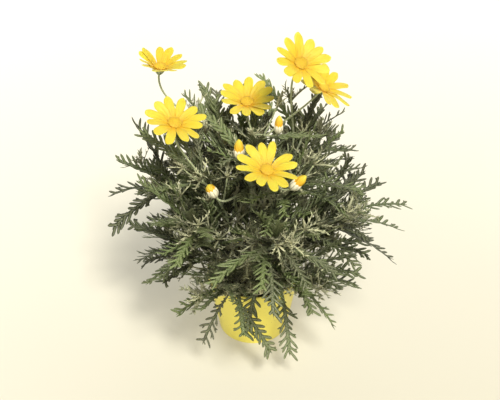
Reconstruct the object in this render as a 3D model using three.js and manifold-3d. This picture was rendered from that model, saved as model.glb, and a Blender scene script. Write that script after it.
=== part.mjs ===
// A yellow bush daisy in a plain pot: comb-cut leaves on stems that stand in the soil, six open heads and
// four buds. Millimetres, +Z up. The pot's base lies on z = 0 with its centre at the origin, and the front
// is toward -Y.
import * as THREE from "three";
import { mergeVertices } from "three/addons/utils/BufferGeometryUtils.js";
import Module from "manifold-3d";

const wasm = await Module();
wasm.setup();

const GAP = 0.3;

// Pot: outer radii, heights and wall
const POT_HEIGHT = 80;
const RIM_RADIUS = 52.5;
const BASE_RADIUS = 39;
const BAND_HEIGHT = 11;
const BAND_STEP = 1.5;
const WALL = 1.6;
const LIP = 0.7;
const POT_SIDES = 32;
const DRAIN_HOLES = 4;
const DRAIN_RADIUS = 4;
const DRAIN_CIRCLE = 24;
const DRAIN_SIDES = 8;

// Soil: its level and the relief of its surface
const SOIL_LEVEL = 68;
const SOIL_RELIEF = 1.6;
const SOIL_SIDES = 18;
const SOIL_RINGS = [0.24, 0.48, 0.7, 0.88];
const STEM_DEPTH = 24;
const STEM_HOLE_SIDES = 6;

// Stems: rings of them that lean out less and stand taller toward the middle of the pot
const STEM_RADIUS = 2.1;
const STEM_TIP_RADIUS = 1.3;
const STEM_SIDES = 5;
const STEM_STEPS = 4;
const STEM_RINGS = [
  { count: 6, azimuth: -105, root: 35, reach: 74, height: 114, young: 0 },
  { count: 6, azimuth: -75, root: 27, reach: 92, height: 176, young: 1 },
  { count: 4, azimuth: -52, root: 16, reach: 64, height: 226, young: 1 },
  { count: 2, azimuth: -100, root: 5.5, reach: 12, height: 244, young: 1 },
];
const STEM_SWAY = { azimuth: 5, reach: 5, height: 8 };
const STEM_BEND = { out: 0.25, up: 0.7 };
const STEM_FOOT = 3;

// Leaves: a narrow rib with pairs of pointed lobes that slant forward
const BLADE = 0.9;
const RIB_HALF_WIDTH = 1.3;
const RIB_TIP_HALF_WIDTH = 0.8;
const LOBE_LENGTH = 15;
const LOBE_SLANT = 40;
const LOBE_LIFT = 0.2;
const LOBE_FULLNESS = { from: 0.12, span: 0.9 };
const FIRST_LOBE = 0.34;
const LAST_LOBE = 0.9;
const LEAF_PAIRS = 6;
const YOUNG_PAIRS = 3;
const LEAF_ARCHES = [0.2, 0.1, 0.3];
const LEAF_BEND = 0.45;

// Crown: the leaves' tips lie on a ball round this point, and each leaf reaches its tip from a stem
const CROWN_CENTRE = new THREE.Vector3(0, 0, 162);
const CROWN_RADIUS = [128, 154];
const CROWN_SPAN = [0.99, -0.74];
const CROWN_TIPS = 84;
const CROWN_TURN = 137.508;
const TIP_SPACING = 44;
const LEAF_CHORD = { least: 50, best: 72, most: 90 };
const COST = { length: 0.125, back: 2, sameStem: 0.5, samePlace: 2 };
const PLACES = 11;
const FIRST_PLACE = 0.2;
const LAST_PLACE = 0.96;
const PAIR_SPAN = 14;
const INNER_SHELLS = [0.82, 0.62];
const INNER_TIPS = 30;
const INNER_SPAN = [0.97, 0];
const INNER_TURN = 50;
const INNER_SPACING = 36;
const INNER_CHORD = { least: 38, best: 56, most: 78 };
const YOUNG_LEAF = { chord: 30, lean: 0.7, arch: 0.08, turn: 100 };

// Tips of the outermost leaves, clockwise from the lower left as seen from the front and above
const OUTER_TIPS = [
  [-56, -86, 42],
  [-85, -68, 69],
  [-118, -49, 96],
  [-155, -15, 146],
  [-157, 8, 176],
  [-150, 27, 210],
  [-129, 51, 243],
  [-77, 69, 270],
  [-54, 74, 277],
  [7, 81, 287],
  [46, 66, 266],
  [85, 50, 242],
  [112, 34, 218],
  [139, 14, 190],
  [168, 0, 169],
  [159, -15, 147],
  [151, -34, 119],
  [117, -44, 108],
  [88, -75, 59],
  [40, -95, 33],
  [20, -98, 40],
  [-9, -85, 52],
];

// Room that each piece keeps to the next, measured between points along their middles
const RIB_POINTS = { first: 3, count: 18 };
const LOBE_POINTS = [0.25, 0.5, 0.75, 1];
const RAY_POINTS = [0.35, 0.6, 0.9];
const LEAF_ROOM = 1.8;
const STEM_ROOM = 2.7;
const STALK_ROOM = 2.2;
const RAY_ROOM = 5;
const HEAD_ROOM = 8;
const POT_ROOM = 2.5;
const FLOOR_ROOM = 4;
const POINT_SPACING = 2.5;
const CHOICES = 40;

// Heads: rays on a ring, a domed disc and a green cup
const RAYS = 12;
const RAY_LENGTH = 25.5;
const RAY_WIDTH = 10;
const RAY_THICKNESS = 0.7;
const RAY_ROOT = 6.2;
const RAY_BEND = 7.4;
const RAY_ARCH = 0.18;
const RAY_SWAY = { turn: 3.5, rise: 6, length: 0.06 };
const RING_THICKNESS = 1.2;
const DISC_RADIUS = 6.4;
const DISC_HEIGHT = 3;
const CUP_RADIUS = 5.4;
const CUP_DEPTH = 7;
const CUP_SIDES = 8;
const CUP_TOOTH = 1.4;
const CUP_WALL = 1.1;
const CUP_NECK = 1.25;
const STALK_RADIUS = 1.05;
const STALK_SIDES = 5;
const STALK_STEPS = 5;
const STALK_PULL = { start: 0.3, end: 0.35 };

// Rows of the cup's bowl, from the stalk up: how far out and how far down each is
const CUP_ROWS = [
  [0.78, 0.68],
  [1, 0.34],
];

// Width of a ray at each fraction of its length, as a share of its full width
const RAY_WIDTHS = [
  [0, 0.27],
  [0.42, 0.82],
  [0.76, 1],
  [1, 0.42],
];

// Florets: how far round, how far out and how high each row of the disc and of a bud's folded rays is
const DISC_SIDES = 12;
const DISC_ROWS = [
  [0.9, 0],
  [0.92, 0.45],
  [0.66, 0.86],
  [0.34, 0.96],
];
const BUD_SIDES = 8;
const BUD_ROWS = [
  [0.9, 0],
  [0.95, 0.4],
  [0.75, 0.78],
  [0.3, 1],
];
const FLORET_RELIEF = 0.08;
const BUD_DEPTH = 1.9;
const BUD_RIM = 1.3;

// Each head: where the base of its disc is, which way it faces, how far its rays rise, how large it is
// beside the others, and the stem that its stalk leaves, with how far along
const HEADS = [
  { at: [-98, 40, 317], azimuth: 0, elevation: 79, rise: 38, size: 1, stem: 14, from: 0.85 },
  { at: [-79, -40, 298], azimuth: -55, elevation: 71, rise: 24, size: 1.05, stem: 15, from: 0.95 },
  { at: [-7, 40, 275], azimuth: -80, elevation: 78, rise: 33, size: 1.08, stem: 17, from: 0.9 },
  { at: [47, -2, 345], azimuth: -57, elevation: 55, rise: 30, size: 1.08, stem: 13, from: 0.8 },
  { at: [72, 24, 302], azimuth: -15, elevation: 58, rise: 26, size: 1.12, stem: 17, from: 0.8 },
  { at: [13, -75, 265], azimuth: -60, elevation: 72, rise: 26, size: 1.08, stem: 16, from: 0.7 },
];

// Each bud: where the rim of its cup is, which way it points, how wide and tall it is, and its stem
const BUDS = [
  { at: [-15, -40, 270], azimuth: 90, elevation: 88, radius: 5.8, tip: 8.5, stem: 16, from: 1.0 },
  { at: [-44, -58, 231], azimuth: 178, elevation: 62, radius: 6, tip: 5, stem: 16, from: 0.62 },
  { at: [26, -10, 280], azimuth: 60, elevation: 84, radius: 5, tip: 8, stem: 17, from: 1.0 },
  { at: [47, -60, 242], azimuth: -8, elevation: 50, radius: 6, tip: 8.5, stem: 16, from: 0.8 },
];

const UP = new THREE.Vector3(0, 0, 1);
const radians = THREE.MathUtils.degToRad;
const mix = THREE.MathUtils.lerp;

// A number from 0 to 1 that looks random and is the same for each count every time.
function vary(count) {
  const x = Math.sin(count * 12.9898 + 4.1414) * 43758.5453;
  return x - Math.floor(x);
}

function sway(count) {
  return 2 * vary(count) - 1;
}

function heading(azimuth, elevation) {
  const flat = Math.cos(radians(elevation));
  return new THREE.Vector3(
    flat * Math.cos(radians(azimuth)),
    flat * Math.sin(radians(azimuth)),
    Math.sin(radians(elevation)),
  );
}

// Solids from triangles

function solidFrom(points, triangles) {
  const vertProperties = new Float32Array(points.flatMap((p) => [p.x, p.y, p.z]));
  const triVerts = new Uint32Array(triangles.flat());
  const solid = new wasm.Manifold(new wasm.Mesh({ numProp: 3, vertProperties, triVerts }));
  if (solid.volume() > 0) return solid;
  return solidFrom(points, triangles.map(([a, b, c]) => [a, c, b]));
}

function solidOf(geometry) {
  geometry.deleteAttribute("normal");
  geometry.deleteAttribute("uv");
  const merged = mergeVertices(geometry);
  const vertProperties = merged.attributes.position.array;
  const triVerts = new Uint32Array(merged.index.array);
  return new wasm.Manifold(new wasm.Mesh({ numProp: 3, vertProperties, triVerts }));
}

// Rings of points with the same number in each, joined in order, with a flat end on the first and the last.
function ringsSolid(rings) {
  const sides = rings[0].length;
  const triangles = [];
  for (let r = 0; r + 1 < rings.length; r++) {
    for (let i = 0; i < sides; i++) {
      const a = r * sides + i;
      const b = r * sides + ((i + 1) % sides);
      triangles.push([a, b, b + sides], [a, b + sides, a + sides]);
    }
  }
  const last = (rings.length - 1) * sides;
  for (let i = 1; i + 1 < sides; i++) {
    triangles.push([0, i + 1, i], [last, last + i, last + i + 1]);
  }
  return solidFrom(rings.flat(), triangles);
}

function lathe(profile, sides) {
  const points = profile.map(([r, z]) => new THREE.Vector2(r, z));
  return solidOf(new THREE.LatheGeometry(points, sides).rotateX(Math.PI / 2));
}

function cylinder(radius, bottom, top, sides) {
  const height = top - bottom;
  const geometry = new THREE.CylinderGeometry(radius, radius, height, sides);
  return solidOf(geometry.rotateX(Math.PI / 2).translate(0, 0, bottom + height / 2));
}

// The rings of a round tube along a curve that goes from one radius to another.
function tubeRings(curve, startRadius, endRadius, sides, steps) {
  const frames = curve.computeFrenetFrames(steps);
  return Array.from({ length: steps + 1 }, (_, s) => {
    const centre = curve.getPointAt(s / steps);
    const radius = mix(startRadius, endRadius, s / steps);
    return Array.from({ length: sides }, (_, i) => {
      const angle = (2 * Math.PI * i) / sides;
      return centre
        .clone()
        .addScaledVector(frames.normals[s], radius * Math.cos(angle))
        .addScaledVector(frames.binormals[s], radius * Math.sin(angle));
    });
  });
}

// Room: points along what is already placed, each with the room that it keeps and the stem that it is on

const taken = [];

function potRadiusAt(z) {
  return mix(BASE_RADIUS, RIM_RADIUS, z / POT_HEIGHT);
}

function inOpenAir(p) {
  if (p.z < FLOOR_ROOM) return false;
  const radius = Math.hypot(p.x, p.y);
  const overSoil = p.z > SOIL_LEVEL + 2 * POT_ROOM && radius < RIM_RADIUS - WALL - 2 * POT_ROOM;
  const clearOfPot = p.z > POT_HEIGHT + POT_ROOM || radius > potRadiusAt(p.z) + POT_ROOM;
  return overSoil || clearOfPot;
}

function hasRoom(points, room, stem) {
  return points.every(
    (p) =>
      inOpenAir(p) &&
      taken.every((t) => {
        const reach = t.room + room;
        return t.stem === stem || p.distanceToSquared(t.point) > reach * reach;
      }),
  );
}

function take(points, room, stem = null) {
  for (const point of points) taken.push({ point, room, stem });
}

function pointsAlong(curve) {
  const span = curve.getPoint(0).distanceTo(curve.getPoint(1));
  return curve.getPoints(Math.ceil(span / POINT_SPACING));
}

// Stems

function newStem(ring, index, count) {
  const azimuth = ring.azimuth + (360 * index) / ring.count + STEM_SWAY.azimuth * sway(7 * count);
  const reach = ring.reach + STEM_SWAY.reach * sway(7 * count + 1);
  const height = ring.height + STEM_SWAY.height * sway(7 * count + 2);
  const out = heading(azimuth, 0);
  const at = (radius, z) => out.clone().multiplyScalar(radius).setZ(z);
  const foot = at(ring.root, SOIL_LEVEL + STEM_FOOT);
  const bend = at(mix(ring.root, reach, STEM_BEND.out), mix(foot.z, height, STEM_BEND.up));
  const above = new THREE.QuadraticBezierCurve3(foot, bend, at(reach, height));
  return { ring, root: at(ring.root, SOIL_LEVEL - STEM_DEPTH), above, leaves: [], stalks: [] };
}

const stems = [];
for (const ring of STEM_RINGS) {
  for (let i = 0; i < ring.count; i++) {
    const stem = newStem(ring, i, stems.length);
    take(pointsAlong(stem.above), STEM_ROOM, stem);
    stems.push(stem);
  }
}

function stemSolid(stem) {
  const rings = tubeRings(stem.above, STEM_RADIUS, STEM_TIP_RADIUS, STEM_SIDES, STEM_STEPS);
  const buried = rings[0].map((p) => p.clone().setZ(stem.root.z));
  return ringsSolid([buried, ...rings]);
}

// Heads and buds

// The frame of a head: its axis, and two directions across it.
function headFrame(head) {
  const axis = heading(head.azimuth, head.elevation);
  const across = new THREE.Vector3().crossVectors(UP, axis).normalize();
  const along = new THREE.Vector3().crossVectors(axis, across);
  const centre = new THREE.Vector3(...head.at);
  const at = (radius, angle, height) =>
    centre
      .clone()
      .addScaledVector(across, radius * Math.cos(angle))
      .addScaledVector(along, radius * Math.sin(angle))
      .addScaledVector(axis, height);
  return { axis, centre, at };
}

function stalkCurve(head, cupDepth) {
  const { axis, at } = headFrame(head);
  const stem = stems[head.stem];
  const start = stem.above.getPoint(head.from);
  const leave = stem.above.getTangent(head.from).add(UP).normalize();
  const end = at(0, 0, -cupDepth - GAP);
  const span = start.distanceTo(end);
  return new THREE.CubicBezierCurve3(
    start,
    start.clone().addScaledVector(leave, STALK_PULL.start * span),
    end.clone().addScaledVector(axis, -STALK_PULL.end * span),
    end.clone().addScaledVector(axis, STALK_RADIUS),
  );
}

// The green cup: a bulged bowl of bracts with a toothed rim round a flat top.
function cupSolid(head, radius, depth, top) {
  const { at } = headFrame(head);
  const rings = [
    [CUP_NECK, -depth, 0],
    ...CUP_ROWS.map(([out, down]) => [radius * out, -depth * down, 0]),
    [radius, 0, -CUP_TOOTH],
    [radius - CUP_WALL, 0, 0],
  ];
  return ringsSolid(
    rings.map(([r, height, tooth]) =>
      Array.from({ length: CUP_SIDES }, (_, i) =>
        at(r, (2 * Math.PI * i) / CUP_SIDES, top + height + tooth * (i % 2)),
      ),
    ),
  );
}

// The middle line of a ray: flat over the ring, then rising and arching outward.
function rayPoint(head, ray, f) {
  const beyond = Math.max(0, f * ray.length - (RAY_BEND - RAY_ROOT));
  const rise = radians(ray.rise);
  const lift = Math.sin(rise) * beyond - (RAY_ARCH * beyond * beyond) / ray.length;
  const radius = RAY_ROOT + f * ray.length - beyond * (1 - Math.cos(rise));
  return headFrame(head).at(radius, ray.angle, lift);
}

// The rays of a head, each turned, raised and stretched a little by its own amount.
function raysOf(head, count) {
  return Array.from({ length: RAYS }, (_, i) => {
    const seed = 31 * count + i;
    return {
      angle: (2 * Math.PI * (i + 0.5)) / RAYS + radians(RAY_SWAY.turn * sway(seed)),
      rise: head.rise + RAY_SWAY.rise * sway(seed + 100),
      length: head.size * RAY_LENGTH * (1 + RAY_SWAY.length * sway(seed + 200)),
    };
  });
}

// Four corners of a flat strip's cross section.
function stripSection(middle, side, halfWidth, up, halfThickness) {
  return [
    [-1, -1],
    [-1, 1],
    [1, 1],
    [1, -1],
  ].map(([s, u]) =>
    middle
      .clone()
      .addScaledVector(side, s * halfWidth)
      .addScaledVector(up, u * halfThickness),
  );
}

// The rays of one head as one body: a many-sided ring, and a blade that grows from every second side of it.
function raysSolid(head, count) {
  const { axis, centre, at } = headFrame(head);
  const points = [];
  const triangles = [];
  const quad = (a, b, c, d) => triangles.push([a, b, c], [a, c, d]);
  const roots = raysOf(head, count).map((ray) => {
    const side = at(1, ray.angle + Math.PI / 2, 0).sub(centre);
    const first = points.length;
    RAY_WIDTHS.forEach(([f, width], k) => {
      const thickness = k ? RAY_THICKNESS : RING_THICKNESS;
      const middle = rayPoint(head, ray, f);
      points.push(...stripSection(middle, side, (width * RAY_WIDTH) / 2, axis, thickness / 2));
    });
    for (let s = first; s + 4 < points.length; s += 4) {
      for (let c = 0; c < 4; c++) quad(s + c, s + 4 + c, s + 4 + ((c + 1) % 4), s + ((c + 1) % 4));
    }
    const last = points.length - 4;
    quad(last + 3, last + 2, last + 1, last);
    return first;
  });
  const bottom = points.push(at(0, 0, -RING_THICKNESS / 2)) - 1;
  const top = points.push(at(0, 0, RING_THICKNESS / 2)) - 1;
  roots.forEach((root, i) => {
    const next = roots[(i + 1) % RAYS];
    triangles.push([top, root + 1, root + 2], [bottom, root + 3, root]);
    triangles.push([top, root + 2, next + 1], [bottom, next, root + 3]);
    quad(root + 2, root + 3, next, next + 1);
  });
  return solidFrom(points, triangles);
}

// A dome of florets: every second point of a row stands out, and the rows alternate.
function floretDome(head, radius, bottom, height, rows, sides) {
  const { at } = headFrame(head);
  return ringsSolid(
    rows.map(([share, rise], k) =>
      Array.from({ length: sides }, (_, i) => {
        const relief = 1 + FLORET_RELIEF * ((i + k + 1) % 2);
        return at(radius * share * relief, (2 * Math.PI * i) / sides, bottom + rise * height * relief);
      }),
    ),
  );
}

// Leaves

// The frame of a blade at a fraction of its length, and a point given by its place along and across.
function bladeFrame(leaf, f) {
  const middle = leaf.curve.getPoint(f);
  const ahead = leaf.curve.getTangent(f);
  const up = new THREE.Vector3().crossVectors(leaf.side, ahead).normalize();
  return { middle, ahead, up };
}

function lobes(leaf) {
  return Array.from({ length: leaf.pairs }, (_, k) => {
    const f = mix(FIRST_LOBE, LAST_LOBE, k / (leaf.pairs - 1));
    const fullness = 0.5 + 0.5 * Math.sin((Math.PI * (f - LOBE_FULLNESS.from)) / LOBE_FULLNESS.span);
    return { f, length: LOBE_LENGTH * (leaf.length / LEAF_CHORD.best) * fullness };
  });
}

// A point along the middle of a lobe, from its root on the rib to its tip.
function lobePoint(leaf, lobe, way, share) {
  const { middle, ahead, up } = bladeFrame(leaf, lobe.f);
  const reach = lobe.length * share;
  return middle
    .clone()
    .addScaledVector(ahead, reach * Math.cos(radians(LOBE_SLANT)))
    .addScaledVector(leaf.side, way * (RIB_HALF_WIDTH + reach * Math.sin(radians(LOBE_SLANT))))
    .addScaledVector(up, reach * LOBE_LIFT * share);
}

function leafPoints(leaf) {
  const points = [];
  for (let s = RIB_POINTS.first; s <= RIB_POINTS.count; s++) {
    points.push(leaf.curve.getPoint(s / RIB_POINTS.count));
  }
  for (const lobe of lobes(leaf)) {
    for (const way of [-1, 1]) {
      for (const share of LOBE_POINTS) points.push(lobePoint(leaf, lobe, way, share));
    }
  }
  return points;
}

// The blade: a narrow strip of rib with a pointed lobe on each side of each stretch of it, thick at the rib
// and sharp at the lobes' tips. The notches between lobes reach the rib. Both faces are split alike.
function leafSolid(leaf) {
  const points = [];
  const triangles = [];
  const station = (f, halfWidth) => {
    const { middle, up } = bladeFrame(leaf, f);
    const first = points.length;
    points.push(...stripSection(middle, leaf.side, halfWidth, up, BLADE / 2));
    return first;
  };
  const join = (a, b, corner, next) =>
    triangles.push([a + corner, a + next, b + next], [a + corner, b + next, b + corner]);
  const [LEFT_LOW, LEFT_TOP, RIGHT_TOP, RIGHT_LOW] = [0, 1, 2, 3];
  const base = station(0, RIB_TIP_HALF_WIDTH);
  triangles.push([base, base + 2, base + 1], [base, base + 3, base + 2]);
  const cut = lobes(leaf);
  const half = (cut[1].f - cut[0].f) / 2;
  let last = station(cut[0].f - half, RIB_HALF_WIDTH);
  for (let corner = 0; corner < 4; corner++) join(base, last, corner, (corner + 1) % 4);
  for (const lobe of cut) {
    const next = station(lobe.f + half, mix(RIB_HALF_WIDTH, RIB_TIP_HALF_WIDTH, lobe.f));
    join(last, next, LEFT_TOP, RIGHT_TOP);
    join(last, next, RIGHT_LOW, LEFT_LOW);
    const left = points.push(lobePoint(leaf, lobe, -1, 1)) - 1;
    const right = points.push(lobePoint(leaf, lobe, 1, 1)) - 1;
    triangles.push([last + LEFT_LOW, last + LEFT_TOP, left], [last + LEFT_TOP, next + LEFT_TOP, left]);
    triangles.push([next + LEFT_TOP, next + LEFT_LOW, left], [next + LEFT_LOW, last + LEFT_LOW, left]);
    triangles.push([last + RIGHT_TOP, last + RIGHT_LOW, right], [next + RIGHT_TOP, last + RIGHT_TOP, right]);
    triangles.push([next + RIGHT_LOW, next + RIGHT_TOP, right], [last + RIGHT_LOW, next + RIGHT_LOW, right]);
    last = next;
  }
  const tip = points.push(leaf.curve.getPoint(1)) - 1;
  for (let corner = 0; corner < 4; corner++) {
    triangles.push([last + corner, last + ((corner + 1) % 4), tip]);
  }
  return solidFrom(points, triangles);
}

// A leaf from a point on a stem to its tip: it leaves the stem steeply and arches over to the tip.
function newLeaf(start, tip, arch, pairs) {
  const chord = tip.clone().sub(start);
  const length = chord.length();
  chord.normalize();
  const over = UP.clone().addScaledVector(chord, -UP.dot(chord));
  const bend = start.clone().lerp(tip, LEAF_BEND).addScaledVector(over, arch * length);
  const side = new THREE.Vector3().crossVectors(chord, UP).normalize();
  return { curve: new THREE.QuadraticBezierCurve3(start, bend, tip), side, length, pairs };
}

// Every place on the stems where a leaf may grow.
const places = stems.flatMap((stem) =>
  Array.from({ length: PLACES }, (_, i) => {
    const along = mix(FIRST_PLACE, LAST_PLACE, i / (PLACES - 1));
    return { stem, start: stem.above.getPoint(along), grow: stem.above.getTangent(along), used: 0 };
  }),
);

// Grows the leaf that ends at a tip, from the place that suits it best and where it has room.
function reachTip(tip, lengths, mostPairs) {
  const choices = places
    .map((place) => {
      const chord = tip.clone().sub(place.start);
      const length = chord.length();
      const back = 1 - chord.normalize().dot(place.grow);
      const crowd = COST.sameStem * place.stem.leaves.length + COST.samePlace * place.used;
      const off = COST.length * Math.abs(length - lengths.best);
      return { place, length, cost: off + COST.back * back + crowd };
    })
    .filter(({ length }) => length > lengths.least && length < lengths.most)
    .sort((a, b) => a.cost - b.cost)
    .slice(0, CHOICES);
  for (const { place, length } of choices) {
    const pairs = Math.min(mostPairs, Math.round(length / PAIR_SPAN));
    for (const arch of LEAF_ARCHES) {
      if (!growLeaf(place.stem, newLeaf(place.start, tip, arch, pairs))) continue;
      place.used += 1;
      return;
    }
  }
}

function growLeaf(stem, leaf) {
  const points = leafPoints(leaf);
  if (!hasRoom(points, LEAF_ROOM, stem)) return false;
  take(points, LEAF_ROOM);
  stem.leaves.push(leaf);
  return true;
}

// The plant is laid out before it is built, so that every piece keeps clear of the others

HEADS.forEach((head, k) => {
  take([headFrame(head).centre], HEAD_ROOM);
  for (const ray of raysOf(head, k)) {
    take(RAY_POINTS.map((f) => rayPoint(head, ray, f)), RAY_ROOM);
  }
});
BUDS.forEach((bud) => take([headFrame(bud).centre], HEAD_ROOM));
for (const head of [...HEADS, ...BUDS]) {
  const depth = head.radius ? head.radius * BUD_DEPTH : CUP_DEPTH;
  const curve = stalkCurve(head, depth);
  take(pointsAlong(curve), STALK_ROOM, stems[head.stem]);
  stems[head.stem].stalks.push({ head, depth, curve });
}

const tips = OUTER_TIPS.map((tip) => new THREE.Vector3(...tip));
function shellTip(k, count, span, turn, share) {
  const elevation = THREE.MathUtils.radToDeg(Math.asin(mix(...span, (k + 0.5) / count)));
  const way = heading(k * CROWN_TURN + turn, elevation);
  return way.multiplyScalar(share * mix(...CROWN_RADIUS, vary(k))).add(CROWN_CENTRE);
}
for (let k = 0; k < CROWN_TIPS; k++) {
  const tip = shellTip(k, CROWN_TIPS, CROWN_SPAN, 0, 1);
  if (tips.every((other) => other.distanceTo(tip) > TIP_SPACING)) tips.push(tip);
}
for (const tip of tips) reachTip(tip, LEAF_CHORD, LEAF_PAIRS);
INNER_SHELLS.forEach((share, shell) => {
  for (let k = 0; k < INNER_TIPS; k++) {
    const tip = shellTip(k, INNER_TIPS, INNER_SPAN, INNER_TURN * (shell + 1), share);
    if (tips.some((other) => other.distanceTo(tip) < INNER_SPACING)) continue;
    tips.push(tip);
    reachTip(tip, INNER_CHORD, YOUNG_PAIRS);
  }
});

stems.forEach((stem, s) => {
  for (let i = 0; i < stem.ring.young; i++) {
    const start = stem.above.getPoint(LAST_PLACE);
    const way = stem.above.getTangent(LAST_PLACE);
    way.addScaledVector(heading(180 * i + YOUNG_LEAF.turn * s, 0), YOUNG_LEAF.lean).normalize();
    const tip = start.clone().addScaledVector(way, YOUNG_LEAF.chord);
    growLeaf(stem, newLeaf(start, tip, YOUNG_LEAF.arch, YOUNG_PAIRS));
  }
});

// Pot and soil

function wallRadiusAt(z) {
  return mix(BASE_RADIUS, RIM_RADIUS - BAND_STEP, z / (POT_HEIGHT - BAND_HEIGHT));
}

function potSolid() {
  const band = POT_HEIGHT - BAND_HEIGHT;
  const lipInner = RIM_RADIUS - WALL;
  let pot = lathe(
    [
      [0, 0],
      [BASE_RADIUS - LIP, 0],
      [wallRadiusAt(LIP), LIP],
      [wallRadiusAt(band), band],
      [RIM_RADIUS - LIP / 2, band + BAND_STEP / 2],
      [RIM_RADIUS, POT_HEIGHT - LIP],
      [RIM_RADIUS - LIP, POT_HEIGHT],
      [lipInner, POT_HEIGHT - LIP / 2],
      [wallRadiusAt(band) - WALL, band],
      [wallRadiusAt(WALL) - WALL, WALL],
      [0, WALL],
    ],
    POT_SIDES,
  );
  for (let i = 0; i < DRAIN_HOLES; i++) {
    const hole = cylinder(DRAIN_RADIUS, -WALL, 2 * WALL, DRAIN_SIDES);
    const place = heading((360 * (i + 0.5)) / DRAIN_HOLES, 0).multiplyScalar(DRAIN_CIRCLE);
    pot = pot.subtract(hole.translate(place.x, place.y, 0));
  }
  return pot;
}

function soilSolid() {
  const bottom = WALL + GAP;
  const radiusAt = (z) => (wallRadiusAt(z) - WALL) * Math.cos(Math.PI / POT_SIDES) - GAP;
  const circle = (radius, height) =>
    Array.from({ length: SOIL_SIDES }, (_, i) => heading((360 * i) / SOIL_SIDES, 0))
      .map((way, i) => way.multiplyScalar(radius).setZ(height(i)));
  const rings = [circle(radiusAt(bottom), () => bottom), circle(radiusAt(SOIL_LEVEL), () => SOIL_LEVEL)];
  [...SOIL_RINGS].reverse().forEach((share, r) => {
    const relief = (i) => SOIL_LEVEL + SOIL_RELIEF * sway(41 * r + i);
    rings.push(circle(radiusAt(SOIL_LEVEL) * share, relief));
  });
  let soil = ringsSolid(rings);
  const holeRadius = (STEM_RADIUS + GAP) / Math.cos(Math.PI / STEM_HOLE_SIDES);
  for (const { root } of stems) {
    const hole = cylinder(holeRadius, root.z - GAP, SOIL_LEVEL + 2 * SOIL_RELIEF, STEM_HOLE_SIDES);
    soil = soil.subtract(hole.translate(root.x, root.y, 0));
  }
  return soil;
}

// Materials and meshes

const surface = (color, roughness) => new THREE.MeshStandardMaterial({ color, roughness, metalness: 0 });
const potYellow = surface(0xf2da48, 0.4);
const soilBrown = surface(0x2b2119, 0.95);
const leafGreen = surface(0x66784a, 0.7);
const rayYellow = surface(0xf9de2c, 0.6);
const discYellow = surface(0xf0b81e, 0.75);

const plant = new THREE.Group();

function addMesh(name, solid, material) {
  const { vertProperties, triVerts } = solid.getMesh();
  const geometry = new THREE.BufferGeometry();
  geometry.setAttribute("position", new THREE.BufferAttribute(new Float32Array(vertProperties), 3));
  geometry.setIndex(new THREE.BufferAttribute(new Uint32Array(triVerts), 1));
  const mesh = new THREE.Mesh(geometry, material);
  mesh.name = name;
  plant.add(mesh);
}

const number = (count) => String(count + 1).padStart(2, "0");

addMesh("pot", potSolid(), potYellow);
addMesh("soil", soilSolid(), soilBrown);
stems.forEach((stem, s) => {
  let solid = stemSolid(stem);
  for (const { head, depth, curve } of stem.stalks) {
    const radius = head.radius ?? CUP_RADIUS;
    const top = head.radius ? 0 : -RING_THICKNESS / 2 - GAP;
    const stalk = tubeRings(curve, STALK_RADIUS, STALK_RADIUS, STALK_SIDES, STALK_STEPS);
    solid = solid.add(ringsSolid(stalk)).add(cupSolid(head, radius, depth, top));
  }
  for (const leaf of stem.leaves) solid = solid.add(leafSolid(leaf));
  addMesh("leafy_stem_" + number(s), solid, leafGreen);
});
HEADS.forEach((head, k) => {
  const discBottom = RING_THICKNESS / 2 + GAP;
  addMesh("bloom_" + number(k) + "_rays", raysSolid(head, k), rayYellow);
  const disc = floretDome(head, DISC_RADIUS, discBottom, DISC_HEIGHT, DISC_ROWS, DISC_SIDES);
  addMesh("bloom_" + number(k) + "_disc", disc, discYellow);
});
BUDS.forEach((bud, k) => {
  const tip = floretDome(bud, bud.radius - BUD_RIM, GAP, bud.tip, BUD_ROWS, BUD_SIDES);
  addMesh("bud_" + number(k) + "_rays", tip, rayYellow);
});

export default plant;
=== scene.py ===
"""A bush daisy in a plain pot: comb-cut leaves on woolly stems, six open heads and four buds.

The plant is laid out by the same rule as its solids, so each fine leaf, stalk and head lies where its plain
one does, and further leaves and shoots then fill the crown. A length passes through mm() once and is in
metres from there on.
"""

import functools
import math
from dataclasses import dataclass, field

import bpy
import numpy as np
from bpy.props import FloatProperty, FloatVectorProperty, IntProperty, PointerProperty
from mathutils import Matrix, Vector


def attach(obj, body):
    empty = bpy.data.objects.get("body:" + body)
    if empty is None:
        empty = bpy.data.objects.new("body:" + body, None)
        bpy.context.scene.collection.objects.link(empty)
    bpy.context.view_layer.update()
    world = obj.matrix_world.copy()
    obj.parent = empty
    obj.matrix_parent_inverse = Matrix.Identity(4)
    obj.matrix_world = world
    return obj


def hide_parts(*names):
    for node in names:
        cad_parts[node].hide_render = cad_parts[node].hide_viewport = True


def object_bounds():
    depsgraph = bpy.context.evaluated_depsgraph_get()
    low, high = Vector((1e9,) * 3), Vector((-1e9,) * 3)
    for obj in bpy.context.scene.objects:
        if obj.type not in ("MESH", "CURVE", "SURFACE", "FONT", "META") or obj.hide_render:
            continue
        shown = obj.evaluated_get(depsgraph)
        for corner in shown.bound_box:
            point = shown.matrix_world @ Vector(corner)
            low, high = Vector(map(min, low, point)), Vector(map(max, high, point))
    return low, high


bl_info = {
    "name": "Potted Bush Daisy",
    "version": (1, 0, 0),
    "blender": (4, 5, 0),
    "location": "View3D > Sidebar > Bush Daisy",
    "description": "Builds the fine pieces and finishes of a bush daisy in its pot",
    "category": "Object",
}

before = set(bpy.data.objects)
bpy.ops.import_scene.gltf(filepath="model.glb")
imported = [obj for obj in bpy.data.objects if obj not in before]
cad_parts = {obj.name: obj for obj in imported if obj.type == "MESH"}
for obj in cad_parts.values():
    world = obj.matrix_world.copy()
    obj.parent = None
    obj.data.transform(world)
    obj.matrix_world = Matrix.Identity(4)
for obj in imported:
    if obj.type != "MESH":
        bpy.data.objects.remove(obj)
SOLID_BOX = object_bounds()


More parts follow.
